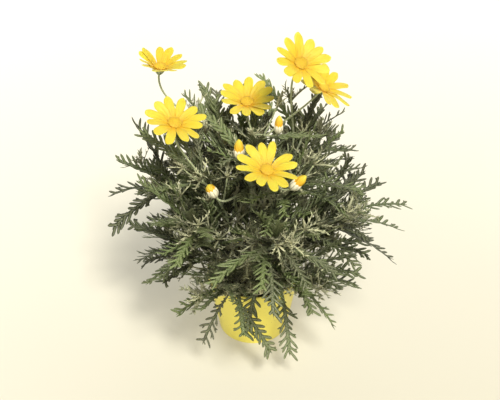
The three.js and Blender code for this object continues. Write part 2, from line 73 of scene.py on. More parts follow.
def mm(*values):
    """Millimetres as metres: one number, or an array of several."""
    metres = np.array(values, float) * 0.001
    return metres if len(values) > 1 else float(metres[0])


# Pot
POT_HEIGHT = mm(80)
RIM_RADIUS = mm(52.5)
BASE_RADIUS = mm(39)
WALL = mm(1.6)
BAND_HEIGHT = mm(11)
BAND_STEP = mm(1.5)
DRAIN_HOLES = 4
DRAIN_RADIUS = mm(4)
DRAIN_CIRCLE = mm(24)
SOIL_LEVEL = mm(68)

# Stems: rings of them that lean out less and stand taller toward the middle of the pot
STEM_DEPTH = mm(24)
STEM_RADIUS = mm(2.1)
STEM_TIP_RADIUS = mm(1.3)
STEM_RINGS = [
    {"count": 6, "azimuth": -105, "root": mm(35), "reach": mm(74), "height": mm(114), "young": 0},
    {"count": 6, "azimuth": -75, "root": mm(27), "reach": mm(92), "height": mm(176), "young": 1},
    {"count": 4, "azimuth": -52, "root": mm(16), "reach": mm(64), "height": mm(226), "young": 1},
    {"count": 2, "azimuth": -100, "root": mm(5.5), "reach": mm(12), "height": mm(244), "young": 1},
]
STEM_SWAY = {"azimuth": 5, "reach": mm(5), "height": mm(8)}
STEM_BEND = {"out": 0.25, "up": 0.7}
STEM_FOOT = mm(3)

# Leaves: a narrow rib with pairs of lobes that slant forward
RIB_HALF_WIDTH = mm(1.3)
LOBE_LENGTH = mm(15)
LOBE_SLANT = math.radians(40)
LOBE_LIFT = 0.2
LOBE_FULLNESS = {"from": 0.12, "span": 0.9}
FIRST_LOBE = 0.34
LAST_LOBE = 0.9
LEAF_PAIRS = 6
YOUNG_PAIRS = 3
LEAF_ARCHES = [0.2, 0.1, 0.3]
LEAF_BEND = 0.45

# Crown: the leaves' tips lie on a ball round this point
CROWN_CENTRE = mm(0, 0, 162)
CROWN_RADIUS = mm(128, 154)
CROWN_SPAN = [0.99, -0.74]
CROWN_TIPS = 84
CROWN_TURN = 137.508
TIP_SPACING = mm(44)
LEAF_CHORD = {"least": mm(50), "best": mm(72), "most": mm(90)}
COST = {"length": 0.125 / mm(1), "back": 2, "same_stem": 0.5, "same_place": 2}
PLACES = 11
FIRST_PLACE = 0.2
LAST_PLACE = 0.96
PAIR_SPAN = mm(14)
INNER_SHELLS = [0.82, 0.62]
INNER_TIPS = 30
INNER_SPAN = [0.97, 0]
INNER_TURN = 50
INNER_SPACING = mm(36)
INNER_CHORD = {"least": mm(38), "best": mm(56), "most": mm(78)}
YOUNG_LEAF = {"chord": mm(30), "lean": 0.7, "arch": 0.08, "turn": 100}
OUTER_TIPS = [
    mm(-56, -86, 42),
    mm(-85, -68, 69),
    mm(-118, -49, 96),
    mm(-155, -15, 146),
    mm(-157, 8, 176),
    mm(-150, 27, 210),
    mm(-129, 51, 243),
    mm(-77, 69, 270),
    mm(-54, 74, 277),
    mm(7, 81, 287),
    mm(46, 66, 266),
    mm(85, 50, 242),
    mm(112, 34, 218),
    mm(139, 14, 190),
    mm(168, 0, 169),
    mm(159, -15, 147),
    mm(151, -34, 119),
    mm(117, -44, 108),
    mm(88, -75, 59),
    mm(40, -95, 33),
    mm(20, -98, 40),
    mm(-9, -85, 52),
]

# Room that each piece keeps to the next, measured between points along their middles
RIB_SHARES = np.arange(3, 19) / 18
LOBE_SHARES = np.array([0.25, 0.5, 0.75, 1])
RAY_SHARES = np.array([0.35, 0.6, 0.9])
LEAF_ROOM = mm(1.8)
STEM_ROOM = mm(2.7)
STALK_ROOM = mm(2.2)
RAY_ROOM = mm(5)
HEAD_ROOM = mm(8)
POT_ROOM = mm(2.5)
FLOOR_ROOM = mm(4)
POINT_SPACING = mm(2.5)
CHOICES = 40

# Further leaves, on shells inside the crown
FILL_SHELLS = [0.96, 0.84, 0.7, 0.55]
FINE_SHELLS = 1
FILL_SPAN = [0.97, -0.55]
FILL_CHOICES = 10
FILL_MARGIN = mm(6)
FILL_CHORD = {"least": mm(34), "best": mm(60), "most": mm(90)}
FILL_ROOM = mm(0.9)

# Heads
RAYS = 12
RAY_LENGTH = mm(25.5)
RAY_WIDTH = mm(10)
RAY_ROOT = mm(6.2)
RAY_BEND = mm(7.4)
RAY_ARCH = 0.18
RAY_SWAY = {"turn": 3.5, "rise": 6, "length": 0.06}
RING_THICKNESS = mm(1.2)
DISC_RADIUS = mm(6.4)
CUP_RADIUS = mm(5.4)
CUP_DEPTH = mm(7)
BUD_DEPTH = 1.9
STALK_RADIUS = mm(1.05)
STALK_PULL = {"start": 0.3, "end": 0.35}
GAP = mm(0.3)

# The way to the front and above, and the way up across it: added leaves hide no head, stalk or pot wall
FACING = np.array([0.0, -0.813, 0.582])
RISING = np.array([0.0, 0.582, 0.813])
HEAD_CLEAR = mm(27)
BUD_CLEAR = mm(8)
STALK_CLEAR = mm(3.6)
STALK_SHOWN = np.linspace(0.45, 0.95, 9)
SHOWN_DEPTH = mm(4)
WALL_CLEAR = mm(38)

UP = np.array([0.0, 0.0, 1.0])
FRONT = np.array([0.0, 1.0, 0.0])

# Stage: the azimuth and elevation that each light comes from and its spread, in degrees, and the distances
# from a point in front between which the floor's own glow grows
LAMPS = {
    "key": {"from": (-68, 56), "spread": 15},
    "front": {"from": (-102, 16), "spread": 60},
    "back": {"from": (80, 26), "spread": 60},
}
FLOOR_REACH = mm(40000)
GLOW_CENTRE = mm(150, -450, 0)
GLOW_SPAN = mm(100, 1300)
CAMERA = {"place": mm(-3.76, -1009.905, 898.582), "tilt": 54.4, "lens": 82.008, "sensor": 36}


# Numbers and directions


def mix(low, high, share):
    """Low where the share is 0, high where it is 1, and straight between them."""
    return low + (high - low) * share


def vary(count):
    """A number from 0 to 1 that looks random: the fraction of a large multiple of a sine of the count.

    It is the same for each count every time, and a number added to the count gives a separate draw.
    """
    x = np.sin(np.asarray(count, float) * 12.9898 + 4.1414) * 43758.5453
    return x - np.floor(x)


def sway(count):
    """The same draw, from -1 to 1."""
    return 2 * vary(count) - 1


def unit(vectors):
    """Each vector divided by its length."""
    return vectors / np.linalg.norm(vectors, axis=-1, keepdims=True)


def heading(azimuth, elevation):
    """The direction at an azimuth from +X round +Z and an elevation above the floor, in degrees."""
    azimuth, elevation = np.broadcast_arrays(np.radians(azimuth), np.radians(elevation))
    flat = np.cos(elevation)
    return np.stack([flat * np.cos(azimuth), flat * np.sin(azimuth), np.sin(elevation)], -1)


def round_end(share, start):
    """A width that holds at 1 up to start and then closes as a quarter circle at 1."""
    return np.sqrt(np.clip(1 - (np.clip(share - start, 0, 1) / (1 - start)) ** 2, 0.0004, 1))


class Bezier:
    """A curve through its first and last control points, pulled toward those between.

    A point is the sum of the control points, each times its Bernstein share of the place along. The direction
    is the same sum over the steps from one control point to the next.
    """

    def __init__(self, *controls):
        self.controls = np.array(controls, float)

    def _sum(self, controls, place):
        last = len(controls) - 1
        place = np.asarray(place, float)[..., None]
        shares = [math.comb(last, i) * (1 - place) ** (last - i) * place**i for i in range(last + 1)]
        return sum(share * control for share, control in zip(shares, controls))

    def at(self, place):
        """The point at each place, from 0 at the start to 1 at the end."""
        return self._sum(self.controls, place)

    def way(self, place):
        """The direction at each place."""
        return unit(self._sum(np.diff(self.controls, axis=0), place))

    def along(self):
        """Points along the curve, at most a point spacing apart if it were straight."""
        span = np.linalg.norm(self.controls[-1] - self.controls[0])
        return self.at(np.linspace(0, 1, math.ceil(span / POINT_SPACING) + 1))


# The plant's layout


@dataclass
class Head:
    """An open head, or a bud where it has a radius: its centre, the way it faces and its stem."""

    at: np.ndarray
    azimuth: float
    elevation: float
    stem: int
    start: float
    rise: float = 0
    size: float = 1
    radius: float = None
    tip: float = 0

    @property
    def axis(self):
        return heading(self.azimuth, self.elevation)

    def place(self, radius, angle, height):
        """Points at a radius and an angle round the head's axis, and a height along it."""
        across = unit(np.cross(UP, self.axis))
        along = np.cross(self.axis, across)
        radius, angle, height = (np.asarray(v, float)[..., None] for v in (radius, angle, height))
        return self.at + across * radius * np.cos(angle) + along * radius * np.sin(angle) + self.axis * height

    def depth(self):
        """How deep the green cup is."""
        return self.radius * BUD_DEPTH if self.radius else CUP_DEPTH

    def clear(self):
        """How far from its middle nothing added may hide it."""
        return BUD_CLEAR if self.radius else HEAD_CLEAR * self.size


HEADS = [
    Head(mm(-98, 40, 317), 0, 79, stem=14, start=0.85, rise=38),
    Head(mm(-79, -40, 298), -55, 71, stem=15, start=0.95, rise=24, size=1.05),
    Head(mm(-7, 40, 275), -80, 78, stem=17, start=0.9, rise=33, size=1.08),
    Head(mm(47, -2, 345), -57, 55, stem=13, start=0.8, rise=30, size=1.08),
    Head(mm(72, 24, 302), -15, 58, stem=17, start=0.8, rise=26, size=1.12),
    Head(mm(13, -75, 265), -60, 72, stem=16, start=0.7, rise=26, size=1.08),
]
BUDS = [
    Head(mm(-15, -40, 270), 90, 88, stem=16, start=1, radius=mm(5.8), tip=mm(8.5)),
    Head(mm(-44, -58, 231), 178, 62, stem=16, start=0.62, radius=mm(6), tip=mm(5)),
    Head(mm(26, -10, 280), 60, 84, stem=17, start=1, radius=mm(5), tip=mm(8)),
    Head(mm(47, -60, 242), -8, 50, stem=16, start=0.8, radius=mm(6), tip=mm(8.5)),
]


@dataclass
class Rays:
    """The rays of a head, as arrays: the angle, rise and length of each."""

    angle: np.ndarray
    rise: np.ndarray
    length: np.ndarray

    @classmethod
    def of(cls, head, count):
        """Rays at even angles, where each sways in angle, rise and length by its own draw."""
        i = np.arange(RAYS)
        seed = 31 * count + i
        return cls(
            2 * np.pi * (i + 0.5) / RAYS + np.radians(RAY_SWAY["turn"] * sway(seed)),
            np.radians(head.rise + RAY_SWAY["rise"] * sway(seed + 100)),
            head.size * RAY_LENGTH * (1 + RAY_SWAY["length"] * sway(seed + 200)),
        )

    def middle(self, share):
        """Radius and height along each ray's middle: flat over the ring, then rising and arching outward.

        Past the bend, the height is the slope times the distance, less an arch that grows with its square.
        """
        share = np.asarray(share, float)[None]
        length, rise = self.length[:, None], self.rise[:, None]
        beyond = np.maximum(0, share * length - (RAY_BEND - RAY_ROOT))
        lift = np.sin(rise) * beyond - RAY_ARCH * beyond**2 / length
        return RAY_ROOT + share * length - beyond * (1 - np.cos(rise)), lift


@dataclass
class Stem:
    """A stem: its foot in the soil, its curve above it, how many young leaves end it, and what it bears."""

    root: np.ndarray
    above: Bezier
    young: int
    leaves: list = field(default_factory=list)
    stalks: list = field(default_factory=list)


@dataclass
class Leaf:
    """A leaf's rib as a curve, the direction across its blade, and how young it is from 0 to 1."""

    rib: Bezier
    side: np.ndarray
    length: float
    pairs: int
    youth: float = 0
    seed: int = 0
    fine: bool = True

    @classmethod
    def reaching(cls, start, tip, arch, pairs, **kept):
        """A leaf that leaves its stem steeply and arches over to its tip."""
        chord = tip - start
        length = float(np.linalg.norm(chord))
        chord = chord / length
        over = UP - chord * (UP @ chord)
        bend = mix(start, tip, LEAF_BEND) + over * arch * length
        return cls(Bezier(start, bend, tip), unit(np.cross(chord, UP)), length, pairs, **kept)

    def lobes(self, pairs):
        """Where each pair of lobes grows and how long it is: longest past the middle, by a half sine."""
        place = np.linspace(FIRST_LOBE, LAST_LOBE, pairs)
        fullness = 0.5 + 0.5 * np.sin(np.pi * (place - LOBE_FULLNESS["from"]) / LOBE_FULLNESS["span"])
        return place, LOBE_LENGTH * (self.length / LEAF_CHORD["best"]) * fullness

    def points(self):
        """Points along the rib and along the middle of each lobe."""
        place, length = self.lobes(self.pairs)
        ahead = self.rib.way(place)
        up = unit(np.cross(self.side, ahead))
        reach = length[:, None, None, None] * LOBE_SHARES[None, None, :, None]
        way = np.array([-1, 1])[None, :, None, None]
        lobes = (
            self.rib.at(place)[:, None, None]
            + ahead[:, None, None] * reach * math.cos(LOBE_SLANT)
            + self.side * way * (RIB_HALF_WIDTH + reach * math.sin(LOBE_SLANT))
            + up[:, None, None] * reach * LOBE_LIFT * LOBE_SHARES[None, None, :, None]
        )
        return np.concatenate([self.rib.at(RIB_SHARES), lobes.reshape(-1, 3)])


class Room:
    """Points along what is already placed, each with the room that it keeps and the stem that it is on."""

    def __init__(self):
        self.points = np.empty((0, 3))
        self.rooms = np.empty(0)
        self.stems = np.empty(0, int)

    def take(self, points, room, stem=-1):
        """Notes points as taken."""
        points = np.asarray(points).reshape(-1, 3)
        self.points = np.concatenate([self.points, points])
        self.rooms = np.concatenate([self.rooms, np.full(len(points), room)])
        self.stems = np.concatenate([self.stems, np.full(len(points), stem)])

    def has(self, points, room, stem):
        """Whether points are in open air, and further from what is taken than the sum of the two rooms.

        What is on the same stem is passed over.
        """
        if not in_open_air(points).all():
            return False
        reach = room + self.rooms.max()
        near = ((self.points > points.min(0) - reach) & (self.points < points.max(0) + reach)).all(1)
        near &= self.stems != stem
        apart = ((points[:, None] - self.points[near][None]) ** 2).sum(-1)
        return bool((apart > (self.rooms[near] + room) ** 2).all())


def in_open_air(points):
    """Whether each point is over the soil, above the rim, or beside the pot and over the floor."""
    radius, z = np.hypot(points[:, 0], points[:, 1]), points[:, 2]
    over_soil = (z > SOIL_LEVEL + 2 * POT_ROOM) & (radius < RIM_RADIUS - WALL - 2 * POT_ROOM)
    beside = radius > mix(BASE_RADIUS, RIM_RADIUS, z / POT_HEIGHT) + POT_ROOM
    return (z >= FLOOR_ROOM) & (over_soil | (z > POT_HEIGHT + POT_ROOM) | beside)


def shell_tips(share, count, span, turn=0):
    """Tips spread evenly over a shell: equal steps in height, and the golden angle between them."""
    k = np.arange(count)
    elevation = np.degrees(np.arcsin(mix(*span, (k + 0.5) / count)))
    radius = share * mix(*CROWN_RADIUS, vary(k))[:, None]
    return CROWN_CENTRE + radius * heading(k * CROWN_TURN + turn, elevation)


def nearest(tips, tip):
    """How far a tip is from the nearest of the tips."""
    return np.linalg.norm(np.array(tips) - tip, axis=1).min()


class Plant:
    """The stems, stalks and leaves, laid out in order so that each keeps clear of what came before."""

    def __init__(self):
        self.room = Room()
        self.stems = []
        self.shown = [(head.at, head.clear()) for head in HEADS + BUDS]
        for ring in STEM_RINGS:
            for i in range(ring["count"]):
                self.add_stem(ring, i)
        self.add_stalks()
        along = np.linspace(FIRST_PLACE, LAST_PLACE, PLACES)
        self.place_stem = np.repeat(np.arange(len(self.stems)), PLACES)
        self.place_start = np.concatenate([stem.above.at(along) for stem in self.stems])
        self.place_way = np.concatenate([stem.above.way(along) for stem in self.stems])
        self.place_used = np.zeros(len(self.place_stem))
        self.add_crown()

    def add_stem(self, ring, index):
        """A stem that stands up from the soil and leans out to its reach, each with its own sways."""
        count = 7 * len(self.stems)
        azimuth = ring["azimuth"] + 360 * index / ring["count"] + STEM_SWAY["azimuth"] * sway(count)
        reach = ring["reach"] + STEM_SWAY["reach"] * sway(count + 1)
        height = ring["height"] + STEM_SWAY["height"] * sway(count + 2)
        out = heading(azimuth, 0)
        foot = out * ring["root"] + UP * (SOIL_LEVEL + STEM_FOOT)
        bend = out * mix(ring["root"], reach, STEM_BEND["out"]) + UP * mix(foot[2], height, STEM_BEND["up"])
        above = Bezier(foot, bend, out * reach + UP * height)
        root = out * ring["root"] + UP * (SOIL_LEVEL - STEM_DEPTH)
        self.room.take(above.along(), STEM_ROOM, len(self.stems))
        self.stems.append(Stem(root, above, ring["young"]))

    def add_stalks(self):
        """Room for the heads and buds, and a stalk from a stem to the foot of each.

        A stalk leaves between its stem's own direction and straight up, and arrives along the head's axis.
        """
        for count, head in enumerate(HEADS):
            self.room.take(head.at, HEAD_ROOM)
            rays = Rays.of(head, count)
            radius, lift = rays.middle(RAY_SHARES)
            self.room.take(head.place(radius, rays.angle[:, None], lift), RAY_ROOM)
        for bud in BUDS:
            self.room.take(bud.at, HEAD_ROOM)
        for head in HEADS + BUDS:
            stem = self.stems[head.stem]
            start = stem.above.at(head.start)
            leave = unit(stem.above.way(head.start) + UP)
            end = head.place(0, 0, -head.depth() - GAP)
            span = np.linalg.norm(end - start)
            pull = (start + leave * STALK_PULL["start"] * span, end - head.axis * STALK_PULL["end"] * span)
            stalk = Bezier(start, *pull, end + head.axis * STALK_RADIUS)
            self.room.take(stalk.along(), STALK_ROOM, head.stem)
            self.shown += [(point, STALK_CLEAR) for point in stalk.at(STALK_SHOWN)]
            stem.stalks.append((head, stalk))

    def add_crown(self):
        """Leaves to the listed tips, then to even tips on the shells, then young ones on the stems."""
        tips = list(OUTER_TIPS)
        for tip in shell_tips(1, CROWN_TIPS, CROWN_SPAN):
            if nearest(tips, tip) > TIP_SPACING:
                tips.append(tip)
        for tip in tips:
            self.reach_tip(tip)
        for shell, share in enumerate(INNER_SHELLS):
            for tip in shell_tips(share, INNER_TIPS, INNER_SPAN, INNER_TURN * (shell + 1)):
                if nearest(tips, tip) >= INNER_SPACING:
                    tips.append(tip)
                    self.reach_tip(tip, INNER_CHORD, YOUNG_PAIRS)
        for s, stem in enumerate(self.stems):
            for i in range(stem.young):
                start = stem.above.at(LAST_PLACE)
                lean = heading(180 * i + YOUNG_LEAF["turn"] * s, 0) * YOUNG_LEAF["lean"]
                tip = start + unit(stem.above.way(LAST_PLACE) + lean) * YOUNG_LEAF["chord"]
                leaf = Leaf.reaching(start, tip, YOUNG_LEAF["arch"], YOUNG_PAIRS, youth=0.8)
                self.grow(s, leaf, LEAF_ROOM)

    def suits(self, points):
        """Whether added points are in open air and hide no head, stalk or pot wall from the front.

        A point hides one that is shown if it stands before it, or a little behind, and close beside it.
        """
        shown, clear = (np.array(each) for each in zip(*self.shown))
        way = points[:, None] - shown
        ahead = way @ FACING
        beside = np.linalg.norm(way - ahead[..., None] * FACING, axis=-1)
        wall = (points[:, 1] < 0) & (abs(points[:, 0]) < RIM_RADIUS) & (points @ RISING < WALL_CLEAR)
        hides = (ahead > -SHOWN_DEPTH) & (beside < clear)
        return in_open_air(points).all() and not wall.any() and not hides.any()

    def grow(self, stem, leaf, room):
        """Puts a leaf on a stem if there is room for it, and says whether it did."""
        points = leaf.points()
        if not self.room.has(points, room, stem) or (room == FILL_ROOM and not self.suits(points)):
            return False
        self.room.take(points, room)
        leaf.seed = sum(len(s.leaves) for s in self.stems)
        self.stems[stem].leaves.append(leaf)
        return True

    def reach_tip(
        self, tip, chord=LEAF_CHORD, most_pairs=LEAF_PAIRS, room=LEAF_ROOM, choices=CHOICES, **kept
    ):
        """Grows the leaf that ends at a tip, from the first place with room in order of cost.

        The cost counts how far the length is from the best, how much the leaf turns back from its stem, and
        how many leaves the stem and the place already have.
        """
        reach = tip - self.place_start
        length = np.linalg.norm(reach, axis=1)
        back = 1 - (reach / length[:, None] * self.place_way).sum(1)
        leaves = np.array([len(stem.leaves) for stem in self.stems])
        crowd = COST["same_stem"] * leaves[self.place_stem] + COST["same_place"] * self.place_used
        cost = COST["length"] * abs(length - chord["best"]) + COST["back"] * back + crowd
        cost[(length <= chord["least"]) | (length >= chord["most"])] = np.inf
        for place in np.argsort(cost, kind="stable")[:choices]:
            if not np.isfinite(cost[place]):
                return False
            pairs = min(most_pairs, math.floor(length[place] / PAIR_SPAN + 0.5))
            for arch in LEAF_ARCHES:
                leaf = Leaf.reaching(self.place_start[place], tip, arch, pairs, **kept)
                if self.grow(self.place_stem[place], leaf, room):
                    self.place_used[place] += 1
                    return True
        return False

    def fill(self, spacing, tips_a_shell):
        """Grows further leaves to tips on shells inside the crown, wherever there is room for them."""
        tips = np.array([leaf.rib.controls[-1] for stem in self.stems for leaf in stem.leaves])
        low, high = (np.array(corner) for corner in SOLID_BOX)
        for shell, share in enumerate(FILL_SHELLS):
            k = np.arange(tips_a_shell)
            elevation = np.degrees(np.arcsin(mix(*FILL_SPAN, (k + vary(k + shell)) / tips_a_shell)))
            radius = share * mix(*CROWN_RADIUS, vary(k + 500 * shell))[:, None]
            for tip in CROWN_CENTRE + radius * heading(k * CROWN_TURN + 50 * shell, elevation):
                inside = (tip > low + FILL_MARGIN).all() and (tip < high - FILL_MARGIN).all()
                if inside and nearest(tips, tip) > spacing:
                    kept = {"fine": shell < FINE_SHELLS}
                    if self.reach_tip(tip, FILL_CHORD, YOUNG_PAIRS, FILL_ROOM, FILL_CHOICES, **kept):
                        tips = np.vstack([tips, tip])


@functools.cache
def plant():
    """The one plant that the operators share."""
    return Plant()


# Meshes


class Surface:
    """Tubes gathered into one mesh. A tube is a grid of points: rings along it, and points round each ring.

    Its sides are quads and its two ends are flat. UV runs 0 to 1 along and round each tube, and tone holds
    three values for the finish to read.
    """

    def __init__(self):
        self.count = 0
        self.points = []
        self.tones = []
        self.corners = []
        self.sizes = []
        self.uvs = []

    def add(self, rings, tone=(0, 0, 0)):
        """Adds tubes of one size. Where their volume comes out below zero, their faces are turned round."""
        tubes, length, sides, _ = rings.shape
        index = self.count + np.arange(tubes * length * sides).reshape(tubes, length, sides)
        beside = np.roll(index, -1, axis=2)
        quads = np.stack([index[:, :-1], beside[:, :-1], beside[:, 1:], index[:, 1:]], -1)
        u, v = np.meshgrid(np.linspace(0, 1, length), np.arange(sides + 1) / sides, indexing="ij")
        grid = np.stack([u, v], -1)
        quad_uv = np.stack([grid[:-1, :-1], grid[:-1, 1:], grid[1:, 1:], grid[1:, :-1]], 2)
        quad_uv = np.broadcast_to(quad_uv, (tubes, *quad_uv.shape))
        ends = np.concatenate([index[:, 0, ::-1], index[:, -1]])
        end_uv = np.repeat([grid[0, sides - 1 :: -1], grid[-1, :sides]], tubes, axis=0)
        if self.volume(rings) < 0:
            quads, quad_uv = quads[..., ::-1], quad_uv[..., ::-1, :]
            ends, end_uv = ends[:, ::-1], end_uv[:, ::-1]
        self.points.append(rings.reshape(-1, 3))
        self.tones.append(np.broadcast_to(tone, rings.shape).reshape(-1, 3))
        self.corners += [quads.reshape(-1), ends.reshape(-1)]
        self.uvs += [quad_uv.reshape(-1, 2), end_uv.reshape(-1, 2)]
        self.sizes += [np.full(tubes * (length - 1) * sides, 4), np.full(2 * tubes, sides)]
        self.count += tubes * length * sides

    @staticmethod
    def volume(rings):
        """Signed volume inside the sides, six times over: the sum of each face's corners' triple product."""
        rings = rings - rings.mean((1, 2), keepdims=True)
        a, d = rings[:, :-1], rings[:, 1:]
        b, c = np.roll(a, -1, axis=2), np.roll(d, -1, axis=2)
        return (a * (np.cross(b, c) + np.cross(c, d))).sum()

    def mesh(self, name):
        """One smooth mesh of all the tubes."""
        mesh = bpy.data.meshes.new(name)
        points, corners, sizes = (np.concatenate(x) for x in (self.points, self.corners, self.sizes))
        mesh.vertices.add(len(points))
        mesh.vertices.foreach_set("co", points.astype(np.float32).reshape(-1))
        mesh.loops.add(len(corners))
        mesh.loops.foreach_set("vertex_index", corners.astype(np.int32))
        mesh.polygons.add(len(sizes))
        mesh.polygons.foreach_set("loop_start", (np.cumsum(sizes) - sizes).astype(np.int32))
        mesh.polygons.foreach_set("use_smooth", np.ones(len(sizes), bool))
        mesh.update(calc_edges=True)
        uv = mesh.uv_layers.new(name="UVMap")
        uv.uv.foreach_set("vector", np.concatenate(self.uvs).astype(np.float32).reshape(-1))
        tone = mesh.attributes.new("tone", "FLOAT_VECTOR", "POINT")
        tone.data.foreach_set("vector", np.concatenate(self.tones).astype(np.float32).reshape(-1))
        mesh.validate()
        return mesh

    def piece(self, name, finish, slot, nodes=()):
        """One object of all the tubes, which rides on the part and stands for the nodes named."""
        return dress(link(name, self.mesh(name)), finish, nodes)


def link(name, mesh):
    """A new object in the scene."""
    piece = bpy.data.objects.new(name, mesh)
    bpy.context.scene.collection.objects.link(piece)
    return piece


def dress(piece, finish, nodes=()):
    """Gives a piece its finish, its place on the part, and the nodes that it stands for."""
    piece.data.materials.clear()
    piece.data.materials.append(finish)
    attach(piece, "root")
    if nodes:
        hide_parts(*nodes)
    return piece


def strap(middle, across, up, half_width, half_thickness, section):
    """A section carried along middle lines: each of its points stands a share across and a share up."""
    wide = half_width[..., None] * section[:, 0]
    high = half_thickness[..., None] * section[:, 1]
    return middle[..., None, :] + across[..., None, :] * wide[..., None] + up[..., None, :] * high[..., None]


def round_section(sides):
    """Points round a circle of radius 1."""
    angle = 2 * np.pi * np.arange(sides) / sides
    return np.stack([np.cos(angle), np.sin(angle)], -1)


# How many rings and sides each kind of tube has
TUBES = {"stem": (20, 10), "foot": (4, 10), "stalk": (24, 8), "twig": (6, 6)}


def tube(curve, kind, first, last):
    """A round tube along a rising curve, from its first radius to its last. Across is the way cross +Y."""
    rings, sides = TUBES[kind]
    share = np.linspace(0, 1, rings)
    way = curve.way(share)
    across = unit(np.cross(way, FRONT))
    radius = mix(first, last, share)
    return strap(curve.at(share), across, np.cross(way, across), radius, radius, round_section(sides))[None]


# Leaves: a rib's section is grooved on top, and a lobe's is flat
RIB_SECTION = np.array(
    [[1, 0], [0.55, 1], [0, 0.4], [-0.55, 1], [-1, 0], [-0.5, -0.9], [0, -1.3], [0.5, -0.9]]
)
LOBE_SECTION = np.array([[1, 0], [0.5, 1], [-0.5, 1], [-1, 0], [-0.5, -1], [0.5, -1]])
THIN_SECTION = np.array([[1, 0], [0, 1], [-1, 0], [0, -1]])

# Ribs: widths are shares of RIB_HALF_WIDTH and thicknesses of the blade's, and the twist is in degrees
RIB_RINGS = {"fine": 12, "plain": 5}
RIB_ROOT = 0.62
RIB_WING = {"lobed": (1.3, 1.8), "toothed": 2.1}
RIB_FULL_AT = 0.38
RIB_END_AT = 0.9
RIB_THICKNESS = {"root": 0.8, "tip": 0.5, "end": 0.4}
BLADE_TWIST = 24

# Lobes: they slant wider low on the plant than high up, and each sways by its own draw. Angles in degrees
LOBE_RINGS = {"fine": [0, 0.22, 0.5, 0.75, 0.91, 1], "plain": [0, 0.45, 0.85, 1], "young": [0, 0.6, 1]}
LOBE_SHARE = 0.74
LOBE_GAIN = mm(1.5)
LOBE_LEAN = {"low": 6, "high": -8, "height": mm(280)}
LOBE_SWAY = {"pairs": 0.9, "place": 0.16, "length": 0.26, "slant": 12, "lift": 0.12}
LEAF_SWAY = {"slant": 7, "lift": 0.2, "width": 0.2, "step": 0.3}
YOUNG_LIFT = 0.45
LOBE_START = 0.4
LOBE_BOW = 0.22
LOBE_WIDTH = {"inner": 0.78, "outer": 1.22, "root": 0.8, "root_span": 0.25, "end_at": 0.5, "young": 0.2}
SHORT_LOBE = {"length": mm(6), "least_width": 0.6}
LOBE_THICKNESS = {"tip": 0.6, "end": 0.35, "end_at": 0.8}
LAST_FINE_LOBE = 0.95
STUNTED = {"share": 0.1, "length": 0.5}
BASAL_PLACES = np.array([0.2, 0.27])
BASAL_LENGTHS = mm(2.2, 4)
SMALL_LEAF = mm(34)
TOOTHED_UNDER = mm(60)
TOOTH_LENGTH = 0.5
FORK = {"lobe": mm(7.5), "turn": (28, 48), "ahead": 0.75, "length": 0.42, "width": 0.34, "thickness": 0.3}
FORK_RINGS = np.array([0, 0.45, 0.85, 1])


def blade_frame(leaf, place):
    """Middle, direction ahead, direction across and direction up at each place, with the leaf's own twist."""
    ahead = leaf.rib.way(place)
    up = unit(np.cross(leaf.side, ahead))
    twist = (np.radians(BLADE_TWIST) * sway(5 * leaf.seed + 1) * place)[:, None]
    across = leaf.side * np.cos(twist) + up * np.sin(twist)
    return leaf.rib.at(place), ahead, across, unit(np.cross(across, ahead))


def leaf_size(leaf):
    """What a leaf's widths are multiplied by: the square root of its length as a share of the best length."""
    return math.sqrt(leaf.length / LEAF_CHORD["best"])


def leaf_tone(leaf, place):
    """What the finish reads at each ring: how young the leaf is, its own shade, and the place along it."""
    return np.stack(np.broadcast_arrays(leaf.youth, vary(leaf.seed * 3 + 2), place), -1)[..., None, :]


def is_toothed(leaf, look):
    """Some of the shorter leaves have lobes half as long, like teeth, on a broad rib."""
    return leaf.length < TOOTHED_UNDER and vary(leaf.seed + 61) < look.toothed


def comb_leaf(surface, leaf, look):
    """A leaf as straps: one along the rib, one along each lobe, and teeth that fork from the longer lobes."""
    add_rib(surface, leaf, look)
    add_lobes(surface, leaf, look)


def add_rib(surface, leaf, look):
    """The rib widens evenly from its root to its wing, closes round at its end, and thins evenly outward."""
    place = np.linspace(0, 1, RIB_RINGS["fine" if leaf.fine else "plain"])
    middle, _, across, up = blade_frame(leaf, place)
    wing = RIB_WING["toothed"] if is_toothed(leaf, look) else mix(*RIB_WING["lobed"], vary(leaf.seed + 67))
    fullness = np.clip(place / RIB_FULL_AT, 0, 1)
    end = round_end(place, RIB_END_AT)
    half_width = RIB_HALF_WIDTH * leaf_size(leaf) * mix(RIB_ROOT, wing, fullness) * end
    half_thickness = look.blade_thickness * mix(RIB_THICKNESS["root"], RIB_THICKNESS["tip"], place)
    half_thickness = half_thickness * mix(RIB_THICKNESS["end"], 1, end)
    section = RIB_SECTION if leaf.fine else THIN_SECTION
    rings = strap(middle, across, up, half_width, half_thickness, section)
    surface.add(rings[None], leaf_tone(leaf, place))


